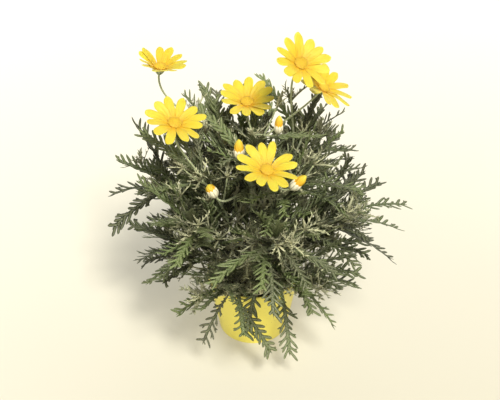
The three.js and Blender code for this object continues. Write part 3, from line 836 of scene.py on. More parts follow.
def lobe_layout(leaf, look):
    """Each lobe's place along the rib, its length, its side of the rib and its seed.

    A leaf has pairs in step with its length. They stand at even steps, one side a little ahead of the other,
    and each lobe sways about its place. Two pairs of short lobes stand near the foot of a fine leaf, and a
    few lobes are stunted.
    """
    wish = look.lobe_pairs * leaf.length / LEAF_CHORD["best"] + LOBE_SWAY["pairs"] * sway(leaf.seed + 7)
    place, length = leaf.lobes(max(YOUNG_PAIRS, round(wish)) if leaf.length > SMALL_LEAF else leaf.pairs)
    pitch = place[1] - place[0]
    place = place + (LAST_FINE_LOBE - LAST_LOBE) * (place - FIRST_LOBE) / (LAST_LOBE - FIRST_LOBE)
    length = length * mix(LOBE_SHARE, 1, leaf.youth) + LOBE_GAIN * place
    if leaf.fine:
        place = np.concatenate([BASAL_PLACES, place])
        length = np.concatenate([BASAL_LENGTHS * leaf_size(leaf), length])
    place, length = np.repeat(place, 2), np.repeat(length, 2)
    way = np.tile([-1.0, 1.0], len(place) // 2)
    seed = leaf.seed * 61 + np.arange(len(place))
    step = LEAF_SWAY["step"] if vary(leaf.seed + 19) < 0.5 else -LEAF_SWAY["step"]
    place = np.minimum(place + pitch * (step * way + LOBE_SWAY["place"] * sway(seed)), LAST_FINE_LOBE)
    length = length * (1 + LOBE_SWAY["length"] * sway(seed + 17))
    length = length * np.where(vary(seed + 53) < STUNTED["share"], STUNTED["length"], 1)
    return place, length * (TOOTH_LENGTH if is_toothed(leaf, look) else 1), way[:, None], seed


def add_lobes(surface, leaf, look):
    """A strap along each lobe, and the teeth of a fine leaf.

    A lobe's middle line leaves the rib at a slant, rises with the square of the share of its length, and bows
    back by the share less its square, so that its end points forward. It widens outward and closes round.
    """
    size = leaf_size(leaf)
    place, length, way, seed = lobe_layout(leaf, look)
    middle, ahead, across, up = blade_frame(leaf, place)
    height = np.clip(leaf.rib.controls[2, 2] / LOBE_LEAN["height"], 0, 1)
    lean = mix(LOBE_LEAN["low"], LOBE_LEAN["high"], height)
    lean = lean + LEAF_SWAY["slant"] * sway(leaf.seed + 3) + LOBE_SWAY["slant"] * sway(seed + 29)
    slant = (LOBE_SLANT + np.radians(lean))[:, None]
    out = ahead * np.cos(slant) + across * way * np.sin(slant)
    lift = mix(LOBE_LIFT, YOUNG_LIFT, leaf.youth)
    lift = lift + LEAF_SWAY["lift"] * sway(leaf.seed + 11) + LOBE_SWAY["lift"] * sway(seed + 5)
    rings = "fine" if leaf.fine else "plain" if leaf.length > SMALL_LEAF else "young"
    share = np.array(LOBE_RINGS[rings])[None, :, None]
    reach = length[:, None, None]
    line = middle[:, None] + (across * way)[:, None] * RIB_HALF_WIDTH * size * LOBE_START
    line = line + out[:, None] * reach * share + up[:, None] * reach * share**2 * lift[:, None, None]
    line = line + ahead[:, None] * reach * LOBE_BOW * (share**2 - share)
    tangent = unit(np.gradient(line, axis=1))
    wide = unit(np.cross(up[:, None], tangent))
    share = share[..., 0]
    width = (1 + LEAF_SWAY["width"] * sway(leaf.seed + 13)) * (1 + LOBE_WIDTH["young"] * leaf.youth)
    width = width * look.lobe_width * size
    root = LOBE_WIDTH["root"] * np.clip(1 - share / LOBE_WIDTH["root_span"], 0, 1)
    end = round_end(share, LOBE_WIDTH["end_at"])
    half_width = 0.5 * width * (mix(LOBE_WIDTH["inner"], LOBE_WIDTH["outer"], share) + root) * end
    half_width = half_width * np.clip(length[:, None] / SHORT_LOBE["length"], SHORT_LOBE["least_width"], 1)
    half_thickness = 0.5 * look.blade_thickness * mix(1, LOBE_THICKNESS["tip"], share)
    edge = round_end(share, LOBE_THICKNESS["end_at"])
    half_thickness = half_thickness * mix(LOBE_THICKNESS["end"], 1, edge)
    half_thickness = np.broadcast_to(half_thickness, half_width.shape)
    section = LOBE_SECTION if leaf.fine else THIN_SECTION
    rings = strap(line, wide, np.cross(tangent, wide), half_width, half_thickness, section)
    surface.add(rings, leaf_tone(leaf, place[:, None] + 0 * share))
    forked = (length > FORK["lobe"]) & (vary(seed + 41) < look.forks)
    if leaf.fine and forked.any():
        lobes = (line[:, 2], tangent[:, 2], wide[:, 2], up, place, length, way, seed)
        add_forks(surface, leaf, look, width, *(each[forked] for each in lobes))


def add_forks(surface, leaf, look, width, start, along, beside, up, place, length, way, seed):
    """A tooth on each lobe given: a short straight strap that turns off from the lobe's middle."""
    turn = np.radians(mix(*FORK["turn"], vary(seed + 43))) * np.where(vary(seed + 47) < FORK["ahead"], -1, 1)
    turn = turn[:, None] * way
    aim = along * np.cos(turn) + beside * np.sin(turn)
    share = FORK_RINGS[None, :, None]
    line = start[:, None] + aim[:, None] * (length * FORK["length"])[:, None, None] * share
    wide = unit(np.cross(up[:, None], np.broadcast_to(aim[:, None], line.shape)))
    share = np.broadcast_to(share[..., 0], line.shape[:2])
    half_width = FORK["width"] * width * round_end(share, LOBE_WIDTH["end_at"])
    half_thickness = np.full(share.shape, FORK["thickness"] * look.blade_thickness)
    rise = np.broadcast_to(up[:, None], line.shape)
    rings = strap(line, wide, rise, half_width, half_thickness, THIN_SECTION)
    surface.add(rings, leaf_tone(leaf, place[:, None] + 0 * share))


# Side twigs and rosettes: reach, spread, length and youth run between the two values of each
TWIG_SPAN = (0.03, 0.93)
TWIG_REACH = (0.5, 2.1)
TWIG_AIM = {"stem": 0.5, "outward": 0.6, "turn": 0.7, "step": 137, "rise": 10, "centre_below": mm(30)}
TWIG_BEND = {"along": 0.6, "up": 0.25}
TWIG_CHECKED = np.linspace(0.3, 1, 5)
TWIG_RADII = mm(1.2, 0.8)
TIP_PLACE = 0.97
TIP_TWIG = mm(2, 4)
ROSETTE_SPREAD = (12, 66)
ROSETTE_LENGTH = (0.5, 1.2)
ROSETTE_YOUTH = (1, 0.7)
ROSETTE_TURN = 6
ROSETTE_LEAST_YOUTH = 0.65
ROSETTE_ARCH = 0.14


def twigs(stem, index, look):
    """Short side twigs up a stem, and the stem's own tip: curves that end where a rosette grows.

    A twig aims along its stem, outward from below the crown's middle and to its own side, each by a share.
    """
    made = []
    for s, along in enumerate(np.linspace(*TWIG_SPAN, look.shoots)):
        seed = 97 * index + 13 * s
        start, way = stem.above.at(along), stem.above.way(along)
        outward = unit(start - CROWN_CENTRE + UP * TWIG_AIM["centre_below"])
        turned_away = heading(360 * vary(seed) + TWIG_AIM["step"] * s, TWIG_AIM["rise"])
        aim = unit(way * TWIG_AIM["stem"] + outward * TWIG_AIM["outward"] + turned_away * TWIG_AIM["turn"])
        reach = look.twig_length * mix(*TWIG_REACH, vary(seed + 3))
        bend = start + aim * reach * TWIG_BEND["along"]
        twig = Bezier(start, bend, start + aim * reach + UP * reach * TWIG_BEND["up"])
        if plant().suits(twig.at(TWIG_CHECKED)):
            made.append((twig, seed))
    start, way = stem.above.at(TIP_PLACE), stem.above.way(1)
    made.append((Bezier(start, *(start + way * reach for reach in TIP_TWIG)), 97 * index + 71))
    return made


def rosette(twig, seed, look):
    """Young leaves round the end of a twig, turned by the golden angle, longer and more open outward."""
    leaves = []
    start, axis = twig.at(1), twig.way(1)
    across = unit(np.cross(axis, FRONT))
    beside = np.cross(axis, across)
    for i in range(look.shoot_leaves):
        turn = math.radians(CROWN_TURN) * i + ROSETTE_TURN * vary(seed)
        spread = math.radians(mix(*ROSETTE_SPREAD, (i + 0.5) / look.shoot_leaves))
        out = across * math.cos(turn) + beside * math.sin(turn)
        aim = unit(axis * math.cos(spread) + out * math.sin(spread))
        length = look.shoot_length * mix(*ROSETTE_LENGTH, (i + vary(seed + i)) / look.shoot_leaves)
        youth = mix(*ROSETTE_YOUTH, i / look.shoot_leaves) * mix(ROSETTE_LEAST_YOUTH, 1, vary(seed + 5))
        kept = {"youth": youth, "seed": seed * 7 + i, "fine": False}
        leaf = Leaf.reaching(start, start + aim * length, ROSETTE_ARCH, YOUNG_PAIRS, **kept)
        if plant().suits(leaf.points()):
            leaves.append(leaf)
    return leaves


# Cups: rings go up the outside, over the rim and down inside, as shares of the rim's radius and the depth
ROUND_SIDES = 72
CUP_RINGS = 12
CUP_SWELL = {"foot": 1.15, "from": 0.06, "head": 0.5, "bud": 0.72, "power": 0.85}
CUP_RIM = {"from": 0.8, "span": 0.2, "drop": mm(0.5)}
CUP_TEETH = {"count": 8, "height": mm(0.78), "bulge": 0.03}
CUP_INSIDE = {"radius": [0.86, 0.8, 0.2], "height": [-0.05, -0.22, -0.3], "tone": [0.9, 0.4, 0.2]}
CUP_SEAT = mm(0.05)
OPEN_BUD_RIM = 0.4


def ringed(head, radius, height, sides):
    """Rings round a head's axis: radius and height are arrays of rings by sides."""
    angle = 2 * np.pi * np.arange(sides) / sides
    radius, height, angle = np.broadcast_arrays(radius, height, angle)
    return head.place(radius, angle, height)[None]


def cup_rim(head):
    """Height of a cup's rim: just under a head's ring, at a bud's middle, or lower if its rays stand out."""
    if not head.radius:
        return -RING_THICKNESS / 2 - CUP_SEAT
    return -OPEN_BUD_RIM * head.radius if head.tip > head.radius else 0


def cup(surface, head):
    """A bowl of joined bracts, egg-shaped on a bud. Its wall swells as a sine and its rim is cut in teeth."""
    radius = head.radius or CUP_RADIUS
    top, depth = cup_rim(head), head.depth()
    angle = 2 * np.pi * np.arange(ROUND_SIDES)[None] / ROUND_SIDES
    waves = np.cos(CUP_TEETH["count"] * angle)
    share = np.linspace(0, 1, CUP_RINGS)[:, None]
    fullest = CUP_SWELL["bud" if head.radius else "head"]
    swell = np.sin(np.pi * mix(CUP_SWELL["from"], fullest, share ** CUP_SWELL["power"]))
    wall = mix(STALK_RADIUS * CUP_SWELL["foot"], radius * (1 + CUP_TEETH["bulge"] * share * waves), swell)
    rim = np.clip((share - CUP_RIM["from"]) / CUP_RIM["span"], 0, 1)
    height = top - depth * (1 - share) - CUP_RIM["drop"] * rim + CUP_TEETH["height"] * rim * waves
    inner = np.array(CUP_INSIDE["radius"])[:, None] * wall[-1]
    inner_height = top + np.array(CUP_INSIDE["height"])[:, None] * depth + 0 * wall[-1]
    rings = ringed(head, np.vstack([wall, inner]), np.vstack([height, inner_height]), ROUND_SIDES)
    tone = np.zeros(rings.shape)
    tone[..., 0] = np.concatenate([share[:, 0], CUP_INSIDE["tone"]])[:, None]
    tone[..., 1] = 1.0 if head.radius else 0.0
    surface.add(rings, tone)


# Heads: a petal's section is a line of places across it, underneath and then back on top
PETAL_ACROSS = np.array([-1, -0.86, -0.6, -0.36, -0.12, 0.12, 0.36, 0.6, 0.86, 1])
PETAL_SECTION = np.concatenate([PETAL_ACROSS, PETAL_ACROSS[::-1]])
PETAL_RINGS = 16
PETAL_START = -0.13
PETAL_SWAY = {"turn": 4, "length": 0.05, "twist": 18, "width": 0.12, "bowl": 0.12}
PETAL_WIDTH = {"root": 0.46, "full_in": 0.62, "end_at": 0.7}
PETAL_BOWL = {"root": 0.34, "tip": -0.2}
PETAL_GROOVE = {"across": 0.36, "width": 0.13, "full_from": mm(4)}
PETAL_RIPPLE = {"height": mm(0.4), "along": 7, "start": 6}
PETAL_THICKNESS = {"middle": mm(0.5), "edge_loss": 0.6}
DISC_RINGS = 8
DISC_SIDES = 40
DISC_DOME = mm(1.9)
DISC_SEAT = mm(0.1)
FLORET = {"height": mm(1.5), "width": mm(1.12), "foot": mm(1.6), "within": 0.96, "lean": 0.7, "sway": 0.12}
FLORET_SIDES = 6
FLORET_RISE = np.array([0, 0.55, 0.9, 1, 0.78])
FLORET_SHUT = np.array([0.9, 1, 0.75, 0.3, 0.1])
FLORET_OPEN = np.array([0.75, 0.85, 1.25, 1.35, 0.5])


def petals(surface, head, count, look):
    """The rays of a head, each with its own turn, length, width, cup and twist about its own middle.

    A ray widens as a smooth step and closes round. Its height across is a bowl times the square of the place
    across, less two grooves shaped as bell curves, with a ripple times the cube that grows outward.
    """
    rays = Rays.of(head, count)
    own = 67 * count + np.arange(RAYS)
    rays.angle = rays.angle + np.radians(PETAL_SWAY["turn"]) * sway(own)
    rays.length = rays.length * (1 + PETAL_SWAY["length"] * sway(own + 300))
    share = mix(PETAL_START, 1, np.sin(np.linspace(0, np.pi / 2, PETAL_RINGS)))
    along = np.clip(share, 0, 1)
    radius, lift = rays.middle(share)
    line = head.place(radius, rays.angle[:, None], lift)
    tangent = unit(np.gradient(line, axis=1))
    beside = unit(head.place(1, rays.angle + np.pi / 2, 0) - head.at)[:, None]
    up = unit(np.cross(tangent, beside))
    seed = 43 * count + np.arange(RAYS)[:, None]
    twist = (np.radians(PETAL_SWAY["twist"]) * sway(seed) * along)[..., None]
    across = beside * np.cos(twist) + up * np.sin(twist)
    up = np.cross(tangent, across)
    step = np.clip((share - PETAL_START) / PETAL_WIDTH["full_in"], 0, 1)
    step = step * step * (3 - 2 * step)
    half = 0.5 * RAY_WIDTH * head.size * look.petal_width * mix(PETAL_WIDTH["root"], 1, step)
    half = half * round_end(share, PETAL_WIDTH["end_at"]) * (1 + PETAL_SWAY["width"] * sway(seed + 11))
    v = PETAL_SECTION
    face = np.repeat([-1.0, 1.0], len(PETAL_ACROSS))
    bowl = mix(PETAL_BOWL["root"], PETAL_BOWL["tip"] + PETAL_SWAY["bowl"] * sway(seed + 23), along)
    bell = np.exp(-(((abs(v) - PETAL_GROOVE["across"]) / PETAL_GROOVE["width"]) ** 2))
    groove = bell * look.groove_depth * np.clip(half / PETAL_GROOVE["full_from"], 0, 1)[..., None]
    phase = PETAL_RIPPLE["along"] * share[None, :, None] + PETAL_RIPPLE["start"] * sway(seed)[..., None]
    ripple = PETAL_RIPPLE["height"] * np.sin(phase) * v**3 * along[None, :, None]
    thick = 0.5 * PETAL_THICKNESS["middle"] * face * (1 - PETAL_THICKNESS["edge_loss"] * v**4)
    high = half[..., None] * (bowl[..., None] * v**2) - groove + thick + ripple
    wide = half[..., None] * v
    rings = line[:, :, None] + across[:, :, None] * wide[..., None] + up[:, :, None] * high[..., None]
    tone = np.broadcast_arrays(along[None, :, None], vary(seed + 5)[..., None], v)
    surface.add(rings, np.stack(tone, -1))


def florets(surface, head, look):
    """A low dome covered in florets set by the golden angle: shut and low in the middle, open at the edge."""
    bottom = RING_THICKNESS / 2 + DISC_SEAT
    share = np.sin(np.linspace(0, np.pi / 2, DISC_RINGS))[:, None]
    flat = DISC_RADIUS * np.sqrt(1 - share**2 * 0.995)
    height = bottom + np.vstack([[[0]], share * DISC_DOME])
    surface.add(ringed(head, np.vstack([flat[:1] * 0.9, flat]), height, DISC_SIDES))
    i = np.arange(look.florets)
    out = np.sqrt((i + 0.5) / look.florets)
    angle = i * math.radians(CROWN_TURN)
    low = bottom + FLORET["foot"] * np.sqrt(1 - 0.9 * out**2)
    foot = head.place(DISC_RADIUS * FLORET["within"] * out, angle, low)
    outward = unit(head.place(1, angle, 0) - head.at)
    axis = unit(head.axis + outward * (FLORET["lean"] * out**2)[:, None])
    across = unit(np.cross(axis, outward))
    beside = np.cross(axis, across)
    height = FLORET["height"] * mix(0.75, 1.1, out) * (1 + FLORET["sway"] * sway(i))
    radius = 0.5 * FLORET["width"] * mix(FLORET_SHUT, FLORET_OPEN, (out**2)[:, None])
    line = foot[:, None] + axis[:, None] * (height[:, None] * FLORET_RISE)[..., None]
    rings = strap(line, across[:, None], beside[:, None], radius, radius, round_section(FLORET_SIDES))
    tone = np.broadcast_arrays(out[:, None, None], vary(i)[:, None, None], FLORET_RISE[None, :, None])
    surface.add(rings, np.stack(tone, -1))


# Buds: the dome of shut rays as shares of the bud's radius and tip, and its folds
BUD_DOME = {"rings": 16, "radius": 0.84, "sunk": 0.35, "tip": 1.08, "bend": 1.7, "point": 0.75}
FOLD = {"count": 9, "spiral": 1.1, "step": 0.18, "lip": mm(0.25)}


def folded_rays(surface, bud):
    """The shut rays of a bud: a pointed dome whose wall steps out once for each ray, in a slow spiral.

    The radius closes upward as a power of a cosine, and a saw tooth round the dome makes the steps.
    """
    angle = np.arange(ROUND_SIDES)[None] / ROUND_SIDES
    share = np.linspace(0, 1, BUD_DOME["rings"])[:, None]
    fold = (FOLD["count"] * angle + FOLD["spiral"] * share) % 1
    swell = np.clip(np.cos(0.5 * np.pi * share ** BUD_DOME["bend"]) ** BUD_DOME["point"], 0.05, 1)
    step = 0.95 + FOLD["step"] * (fold - 0.5) * np.sin(np.pi * mix(0.2, 1, share))
    radius = BUD_DOME["radius"] * bud.radius * swell * step
    start = cup_rim(bud) - BUD_DOME["sunk"] * bud.radius
    height = start + (bud.tip * BUD_DOME["tip"] - start) * share + FOLD["lip"] * fold * share
    rings = ringed(bud, radius, height, ROUND_SIDES)
    tone = np.zeros(rings.shape)
    tone[..., 0] = share
    tone[..., 1] = np.broadcast_to(fold, radius.shape)
    surface.add(rings, tone)


# Pot and soil
POT_AXLE = mm(2)
POT_LIP = mm(0.6)
POT_BENDS = mm(1.4, 0.4, 0.7, 0.9, 0.8, 1.2, 1.5)
BAR_SIDES = 32
SOIL_SIDES = 128
SOIL_SHARES = np.linspace(0.98, 0.02, 34)
SOIL_AXLE = mm(1)
CRUMB_RINGS = 5
CRUMB_SIDES = 7
CRUMB_SIZES = (0.4, 1.3)
CRUMB_MARGIN = mm(4)


def wall_radius(z):
    """Outer radius of the wall under its band, which grows evenly with height."""
    return mix(BASE_RADIUS, RIM_RADIUS - BAND_STEP, z / (POT_HEIGHT - BAND_HEIGHT))


def turned(profile, sides):
    """A profile of radii and heights turned round +Z: x = r cos a, y = r sin a."""
    angle = 2 * np.pi * np.arange(sides) / sides
    radius, height = profile[:, 0, None], profile[:, 1, None]
    return np.stack(np.broadcast_arrays(radius * np.cos(angle), radius * np.sin(angle), height), -1)[None]


def softened(corners, reach, steps=6):
    """Each corner becomes the quadratic curve between the points a reach before it and after it."""
    before, at, after = corners[:-2], corners[1:-1], corners[2:]
    reach = np.array(reach)[:, None]
    t = np.linspace(0, 1, steps)[None, :, None]
    start, end = (at + unit(to - at) * reach for to in (before, after))
    bends = (1 - t) ** 2 * start[:, None] + 2 * t * (1 - t) * at[:, None] + t**2 * end[:, None]
    return np.vstack([corners[:1], bends.reshape(-1, 2), corners[-1:]])


def pot_profile():
    """Radii and heights from the middle of the base, out and up the wall, over the rim and down inside."""
    band = POT_HEIGHT - BAND_HEIGHT
    corners = [
        (POT_AXLE, 0),
        (BASE_RADIUS, 0),
        (wall_radius(band), band),
        (RIM_RADIUS, band + BAND_STEP / 2),
        (RIM_RADIUS, POT_HEIGHT),
        (RIM_RADIUS - WALL - POT_LIP, POT_HEIGHT),
        (wall_radius(band) - WALL, band),
        (wall_radius(WALL) - WALL, WALL),
        (POT_AXLE, WALL),
    ]
    return softened(np.array(corners), POT_BENDS)


def soil_top(x, y, relief):
    """Height of the soil: its level plus sines of x and y at three scales."""
    waves = np.sin(140 * x + 2) * np.sin(120 * y + 1)
    waves = waves + 0.7 * np.sin(330 * x + 210 * y) * np.sin(290 * y - 90 * x)
    waves = waves + 0.6 * np.sin(760 * x - 400 * y + 1) * np.sin(820 * y + 300 * x)
    return SOIL_LEVEL + relief * waves


def soil_bed(relief):
    """The soil as rings: from the middle of its foot out, up beside the wall, and inward over its top."""
    radius_at = wall_radius(np.array([WALL + GAP, SOIL_LEVEL])) - WALL - GAP
    radius = np.concatenate([[SOIL_AXLE], radius_at, radius_at[1] * SOIL_SHARES])
    angle = 2 * np.pi * np.arange(SOIL_SIDES) / SOIL_SIDES
    x, y = radius[:, None] * np.cos(angle), radius[:, None] * np.sin(angle)
    z = soil_top(x, y, relief)
    z[:2], z[2] = WALL + GAP, SOIL_LEVEL
    return np.stack([x, y, z], -1)[None]


def crumbs(count, size, relief):
    """Lumps of soil: balls of a few rings, each squeezed and roughened by its own sines."""
    i = np.arange(count)
    out = (wall_radius(SOIL_LEVEL) - WALL - CRUMB_MARGIN) * np.sqrt(vary(i))
    turn = 2 * np.pi * vary(i + 900)
    x, y = out * np.cos(turn), out * np.sin(turn)
    radius = size * mix(*CRUMB_SIZES, vary(i + 300) ** 2)
    at = np.stack([x, y, soil_top(x, y, relief) + 0.25 * radius], -1)
    rise = (np.linspace(-0.46, 0.46, CRUMB_RINGS) * np.pi)[:, None]
    angle = 2 * np.pi * np.arange(CRUMB_SIDES) / CRUMB_SIDES
    ball = [np.cos(rise) * np.cos(angle), np.cos(rise) * np.sin(angle), np.sin(rise)]
    ball = np.stack(np.broadcast_arrays(*ball), -1)
    rough = 1 + 0.25 * np.sin(5 * ball.sum(-1)[None] + 40 * vary(i)[:, None, None])
    squeeze = [mix(0.7, 1.3, vary(i + 50)), mix(0.7, 1.2, vary(i + 70)), mix(0.6, 0.9, vary(i + 90))]
    lump = ball[None] * (rough * radius[:, None, None])[..., None] * np.stack(squeeze, -1)[:, None, None]
    return at[:, None, None] + lump


def drilled(piece):
    """Cuts the drainage holes through the pot's floor with round bars set in a ring."""
    angle = 2 * np.pi * (np.arange(DRAIN_HOLES) + 0.5) / DRAIN_HOLES
    place = DRAIN_CIRCLE * np.stack([np.cos(angle), np.sin(angle), 0 * angle], -1)
    bar = turned(np.array([(DRAIN_RADIUS, -WALL), (DRAIN_RADIUS, 2 * WALL)]), BAR_SIDES)
    bars = Surface()
    bars.add(bar + place[:, None, None])
    cutter = link("drain_bars", bars.mesh("drain_bars"))
    cut = piece.modifiers.new("Drain holes", "BOOLEAN")
    cut.operation, cut.solver, cut.object = "DIFFERENCE", "EXACT", cutter
    mesh = bpy.data.meshes.new_from_object(piece.evaluated_get(bpy.context.evaluated_depsgraph_get()))
    piece.modifiers.clear()
    piece.data = mesh
    bpy.data.objects.remove(cutter)


# Finishes


def tint(red, green, blue):
    """A colour given from 0 to 255 as a screen shows it, as linear light."""
    c = np.array([red, green, blue]) / 255
    return tuple(float(v) for v in np.where(c <= 0.04045, c / 12.92, ((c + 0.055) / 1.055) ** 2.4))


class Shade:
    """A value in a material. Arithmetic on it adds Math nodes."""

    def __init__(self, finish, socket):
        self.finish = finish
        self.socket = socket

    def math(self, operation, *values, clamp=False):
        """A Math node with these values as its inputs."""
        inputs = dict(enumerate(values))
        return self.finish.node("ShaderNodeMath", inputs, operation=operation, use_clamp=clamp)

    def __add__(self, other):
        return self.math("ADD", self, other)

    def __sub__(self, other):
        return self.math("SUBTRACT", self, other)

    def __rsub__(self, other):
        return self.math("SUBTRACT", other, self)

    def __mul__(self, other):
        return self.math("MULTIPLY", self, other)

    def __pow__(self, other):
        return self.math("POWER", self, other)

    def __gt__(self, other):
        return self.math("GREATER_THAN", self, other)

    def __lt__(self, other):
        return self.math("LESS_THAN", self, other)

    def __abs__(self):
        return self.math("ABSOLUTE", self)

    __radd__ = __add__
    __rmul__ = __mul__

    def sin(self):
        return self.math("SINE", self)

    def ramp(self, low, high):
        """0 where the value is at low, 1 where it is at high, and straight between them."""
        return self.math("MULTIPLY", self - low, 1 / (high - low), clamp=True)


class Finish:
    """A material whose colours and relief are worked out by nodes."""

    def __init__(self, name, **constants):
        self.material = bpy.data.materials.new(name)
        self.material.use_nodes = True
        self.tree = self.material.node_tree
        self.shader = self.tree.nodes["Principled BSDF"]
        self.shade(**constants)

    def node(self, kind, inputs=(), output=0, **settings):
        """Adds a node with its settings and inputs, and gives one of its outputs as a value."""
        node = self.tree.nodes.new(kind)
        for name, value in settings.items():
            setattr(node, name, value)
        for name, value in dict(inputs).items():
            self.feed(node.inputs[name], value)
        return Shade(self, node.outputs[output])

    def feed(self, socket, value):
        """Links a value to a socket, or sets the socket to a number or a colour."""
        if isinstance(value, Shade):
            self.tree.links.new(value.socket, socket)
        elif hasattr(socket.default_value, "__len__") and len(socket.default_value) == 4:
            socket.default_value = (*value[:3], 1)
        else:
            socket.default_value = value

    def shade(self, **values):
        """Sets the shader's own sockets: base_color is its Base Color, and so on."""
        for name, value in values.items():
            socket = name.replace("_", " ").title().replace("Ior", "IOR")
            self.feed(self.shader.inputs[socket], value)

    def blend(self, share, first, second):
        """The first colour where the share is 0, the second where it is 1, and mixed between them."""
        return self.node("ShaderNodeMix", {0: share, 6: first, 7: second}, 2, data_type="RGBA")

    def tone(self):
        """The three values that the mesh holds for its finish."""
        tone = self.node("ShaderNodeAttribute", output="Vector", attribute_name="tone")
        return [self.node("ShaderNodeSeparateXYZ", {0: tone}, i) for i in range(3)]

    def around(self):
        """How far along a tube and how far round it, from the piece's UV map."""
        uv = self.node("ShaderNodeUVMap", uv_map="UVMap")
        return [self.node("ShaderNodeSeparateXYZ", {0: uv}, i) for i in range(2)]

    def noise(self, scale, detail=3):
        """Soft random patches: the scale is how many there are to a metre."""
        return self.node("ShaderNodeTexNoise", {"Vector": self.place(), "Scale": scale, "Detail": detail})

    def place(self):
        """Where a point is in its object."""
        return self.node("ShaderNodeTexCoord", output="Object")

    def coordinate(self, index):
        """How far along X, Y or Z a point is in its object, for an index of 0, 1 or 2."""
        return self.node("ShaderNodeSeparateXYZ", {0: self.place()}, index)

    def distance(self, centre):
        """How far a point is from a centre."""
        ends = {0: self.place(), 1: tuple(centre)}
        return self.node("ShaderNodeVectorMath", ends, 1, operation="DISTANCE")

    def relief(self, height, depth, strength):
        """Bumps in the shading where the height varies."""
        bump = {"Height": height, "Distance": depth, "Strength": strength}
        self.shade(normal=self.node("ShaderNodeBump", bump))


def leaf_finish(look):
    """Green felt: paler on the ribs, at the tips and where a leaf is young. Painted shade darkens it beneath,
    inside the crown and at the plant's two sides. Wool lies over it in fine patches.
    """
    finish = Finish("comb_leaf", roughness=0.42, specular_ior_level=0.33)
    youth, shade, along = finish.tone()
    _, v = finish.around()
    patches = finish.noise(70).ramp(0.35, 0.65)
    wool = finish.noise(1400, 2).ramp(0.48, 0.68)
    # Painted shade: leaves near the crown's middle are darkened toward the inner shade colour, and their tips
    # are kept from paling there.
    outside = finish.distance(CROWN_CENTRE).ramp(mm(20), mm(100))
    colour = finish.blend(patches * 0.25 + shade**2 * 0.9, look.deep_colour, look.leaf_colour)
    colour = finish.blend(along.ramp(0.2, 1.0) * outside * shade * 0.6, colour, look.tip_colour)
    colour = finish.blend((1 - outside) * 0.5, colour, look.inner_shade_colour)
    # Painted shade: the undersides of the blades are darkened.
    colour = finish.blend((v > 0.5) * 0.5, colour, look.inner_shade_colour)
    # Painted shade: leaves toward the plant's two sides are darkened, and show less youth and wool paleness.
    side = abs(finish.coordinate(0)).ramp(mm(45), mm(140))
    colour = finish.blend(side * 0.5, colour, look.deep_colour)
    rib = 1 - (abs(v - 0.25) * 9).ramp(0.3, 1)
    colour = finish.blend(rib * 0.14, colour, look.wool_colour)
    colour = finish.blend(youth * (0.3 + shade * 0.8) * (1 - side * 0.35), colour, look.wool_colour)
    colour = finish.blend(wool * (0.3 - side * 0.24), colour, look.wool_colour)
    finish.shade(base_color=colour)
    finish.relief(wool + rib * 0.8, mm(0.25), 0.6)
    return finish.material


def stem_finish(look):
    """Woolly pale stems, browner low down where they turn to wood."""
    finish = Finish("woolly_stem", roughness=0.75, sheen_weight=0.3, sheen_roughness=0.5)
    height = finish.coordinate(2)
    wool = finish.noise(900, 3).ramp(0.4, 0.7)
    green = finish.blend(height.ramp(mm(75), mm(150)), look.bark_colour, look.stem_colour)
    finish.shade(base_color=finish.blend(wool * 0.5, green, look.wool_colour))
    finish.relief(wool, mm(0.3), 0.7)
    return finish.material


def cup_finish(look):
    """Bracts: green with papery pale edges and darker seams, and cream as a whole on a bud."""
    finish = Finish("bract_cup", roughness=0.6)
    share, bud, _ = finish.tone()
    _, v = finish.around()
    seam = (v * (16 * math.pi) - math.pi / 2).sin().ramp(0.55, 0.95)
    pale = finish.blend(bud * 0.9, look.stem_colour, look.bract_colour)
    colour = finish.blend(seam * (0.75 - bud * 0.35), pale, look.deep_colour)
    colour = finish.blend(share.ramp(0.7, 1) * 0.7, colour, look.bract_colour)
    down = finish.noise(700).ramp(0.45, 0.7)
    finish.shade(base_color=finish.blend(down * 0.3, colour, look.bract_colour))
    finish.relief(1 - seam, mm(0.3), 0.6)
    return finish.material


def petal_finish(look):
    """Clear yellow, deeper toward the disc and along the fine veins, and paler at the end."""
    finish = Finish("petal", roughness=0.5, specular_ior_level=0.3, sheen_weight=0.1)
    finish.shade(subsurface_weight=0.5, subsurface_radius=(0.6, 0.5, 0.3), subsurface_scale=mm(1.2))
    along, own, across = finish.tone()
    veins = (across * 34 + finish.noise(160) * 2.5).sin().ramp(-1, 1)
    colour = finish.blend(along.ramp(0.0, 0.55), look.ray_root_colour, look.ray_colour)
    colour = finish.blend(veins * 0.16 + own * 0.25, colour, look.ray_root_colour)
    colour = finish.blend(along.ramp(0.85, 1.0) * 0.25, colour, look.ray_tip_colour)
    finish.shade(base_color=colour)
    finish.relief(veins, mm(0.12), 0.5)
    return finish.material


def floret_finish(look):
    """Deep yellow: more orange toward the disc's edge, and low on each floret, where light is shut out."""
    finish = Finish("florets", roughness=0.6, sheen_weight=0.1)
    out, own, rise = finish.tone()
    colour = finish.blend(out**2 * 0.5 + own * 0.3, look.disc_colour, look.ray_root_colour)
    colour = finish.blend(0.6 - rise.ramp(0.1, 0.8) * 0.6, colour, look.disc_shade_colour)
    finish.shade(base_color=colour)
    finish.relief(finish.noise(2500), mm(0.15), 0.5)
    return finish.material


def fold_finish(look):
    """The outside of shut rays: yellow that is duller and greener low down, with a line of painted shade at
    each fold.
    """
    finish = Finish("shut_rays", roughness=0.55)
    share, fold, _ = finish.tone()
    crease = 1 - fold.ramp(0.0, 0.16)
    colour = finish.blend(share.ramp(0.2, 1.1), look.shut_colour, look.ray_colour)
    # Painted shade: a dark line in the crease at each fold.
    colour = finish.blend(crease * 0.7, colour, look.disc_shade_colour)
    finish.shade(base_color=colour)
    finish.relief(fold, mm(0.3), 0.5)
    return finish.material


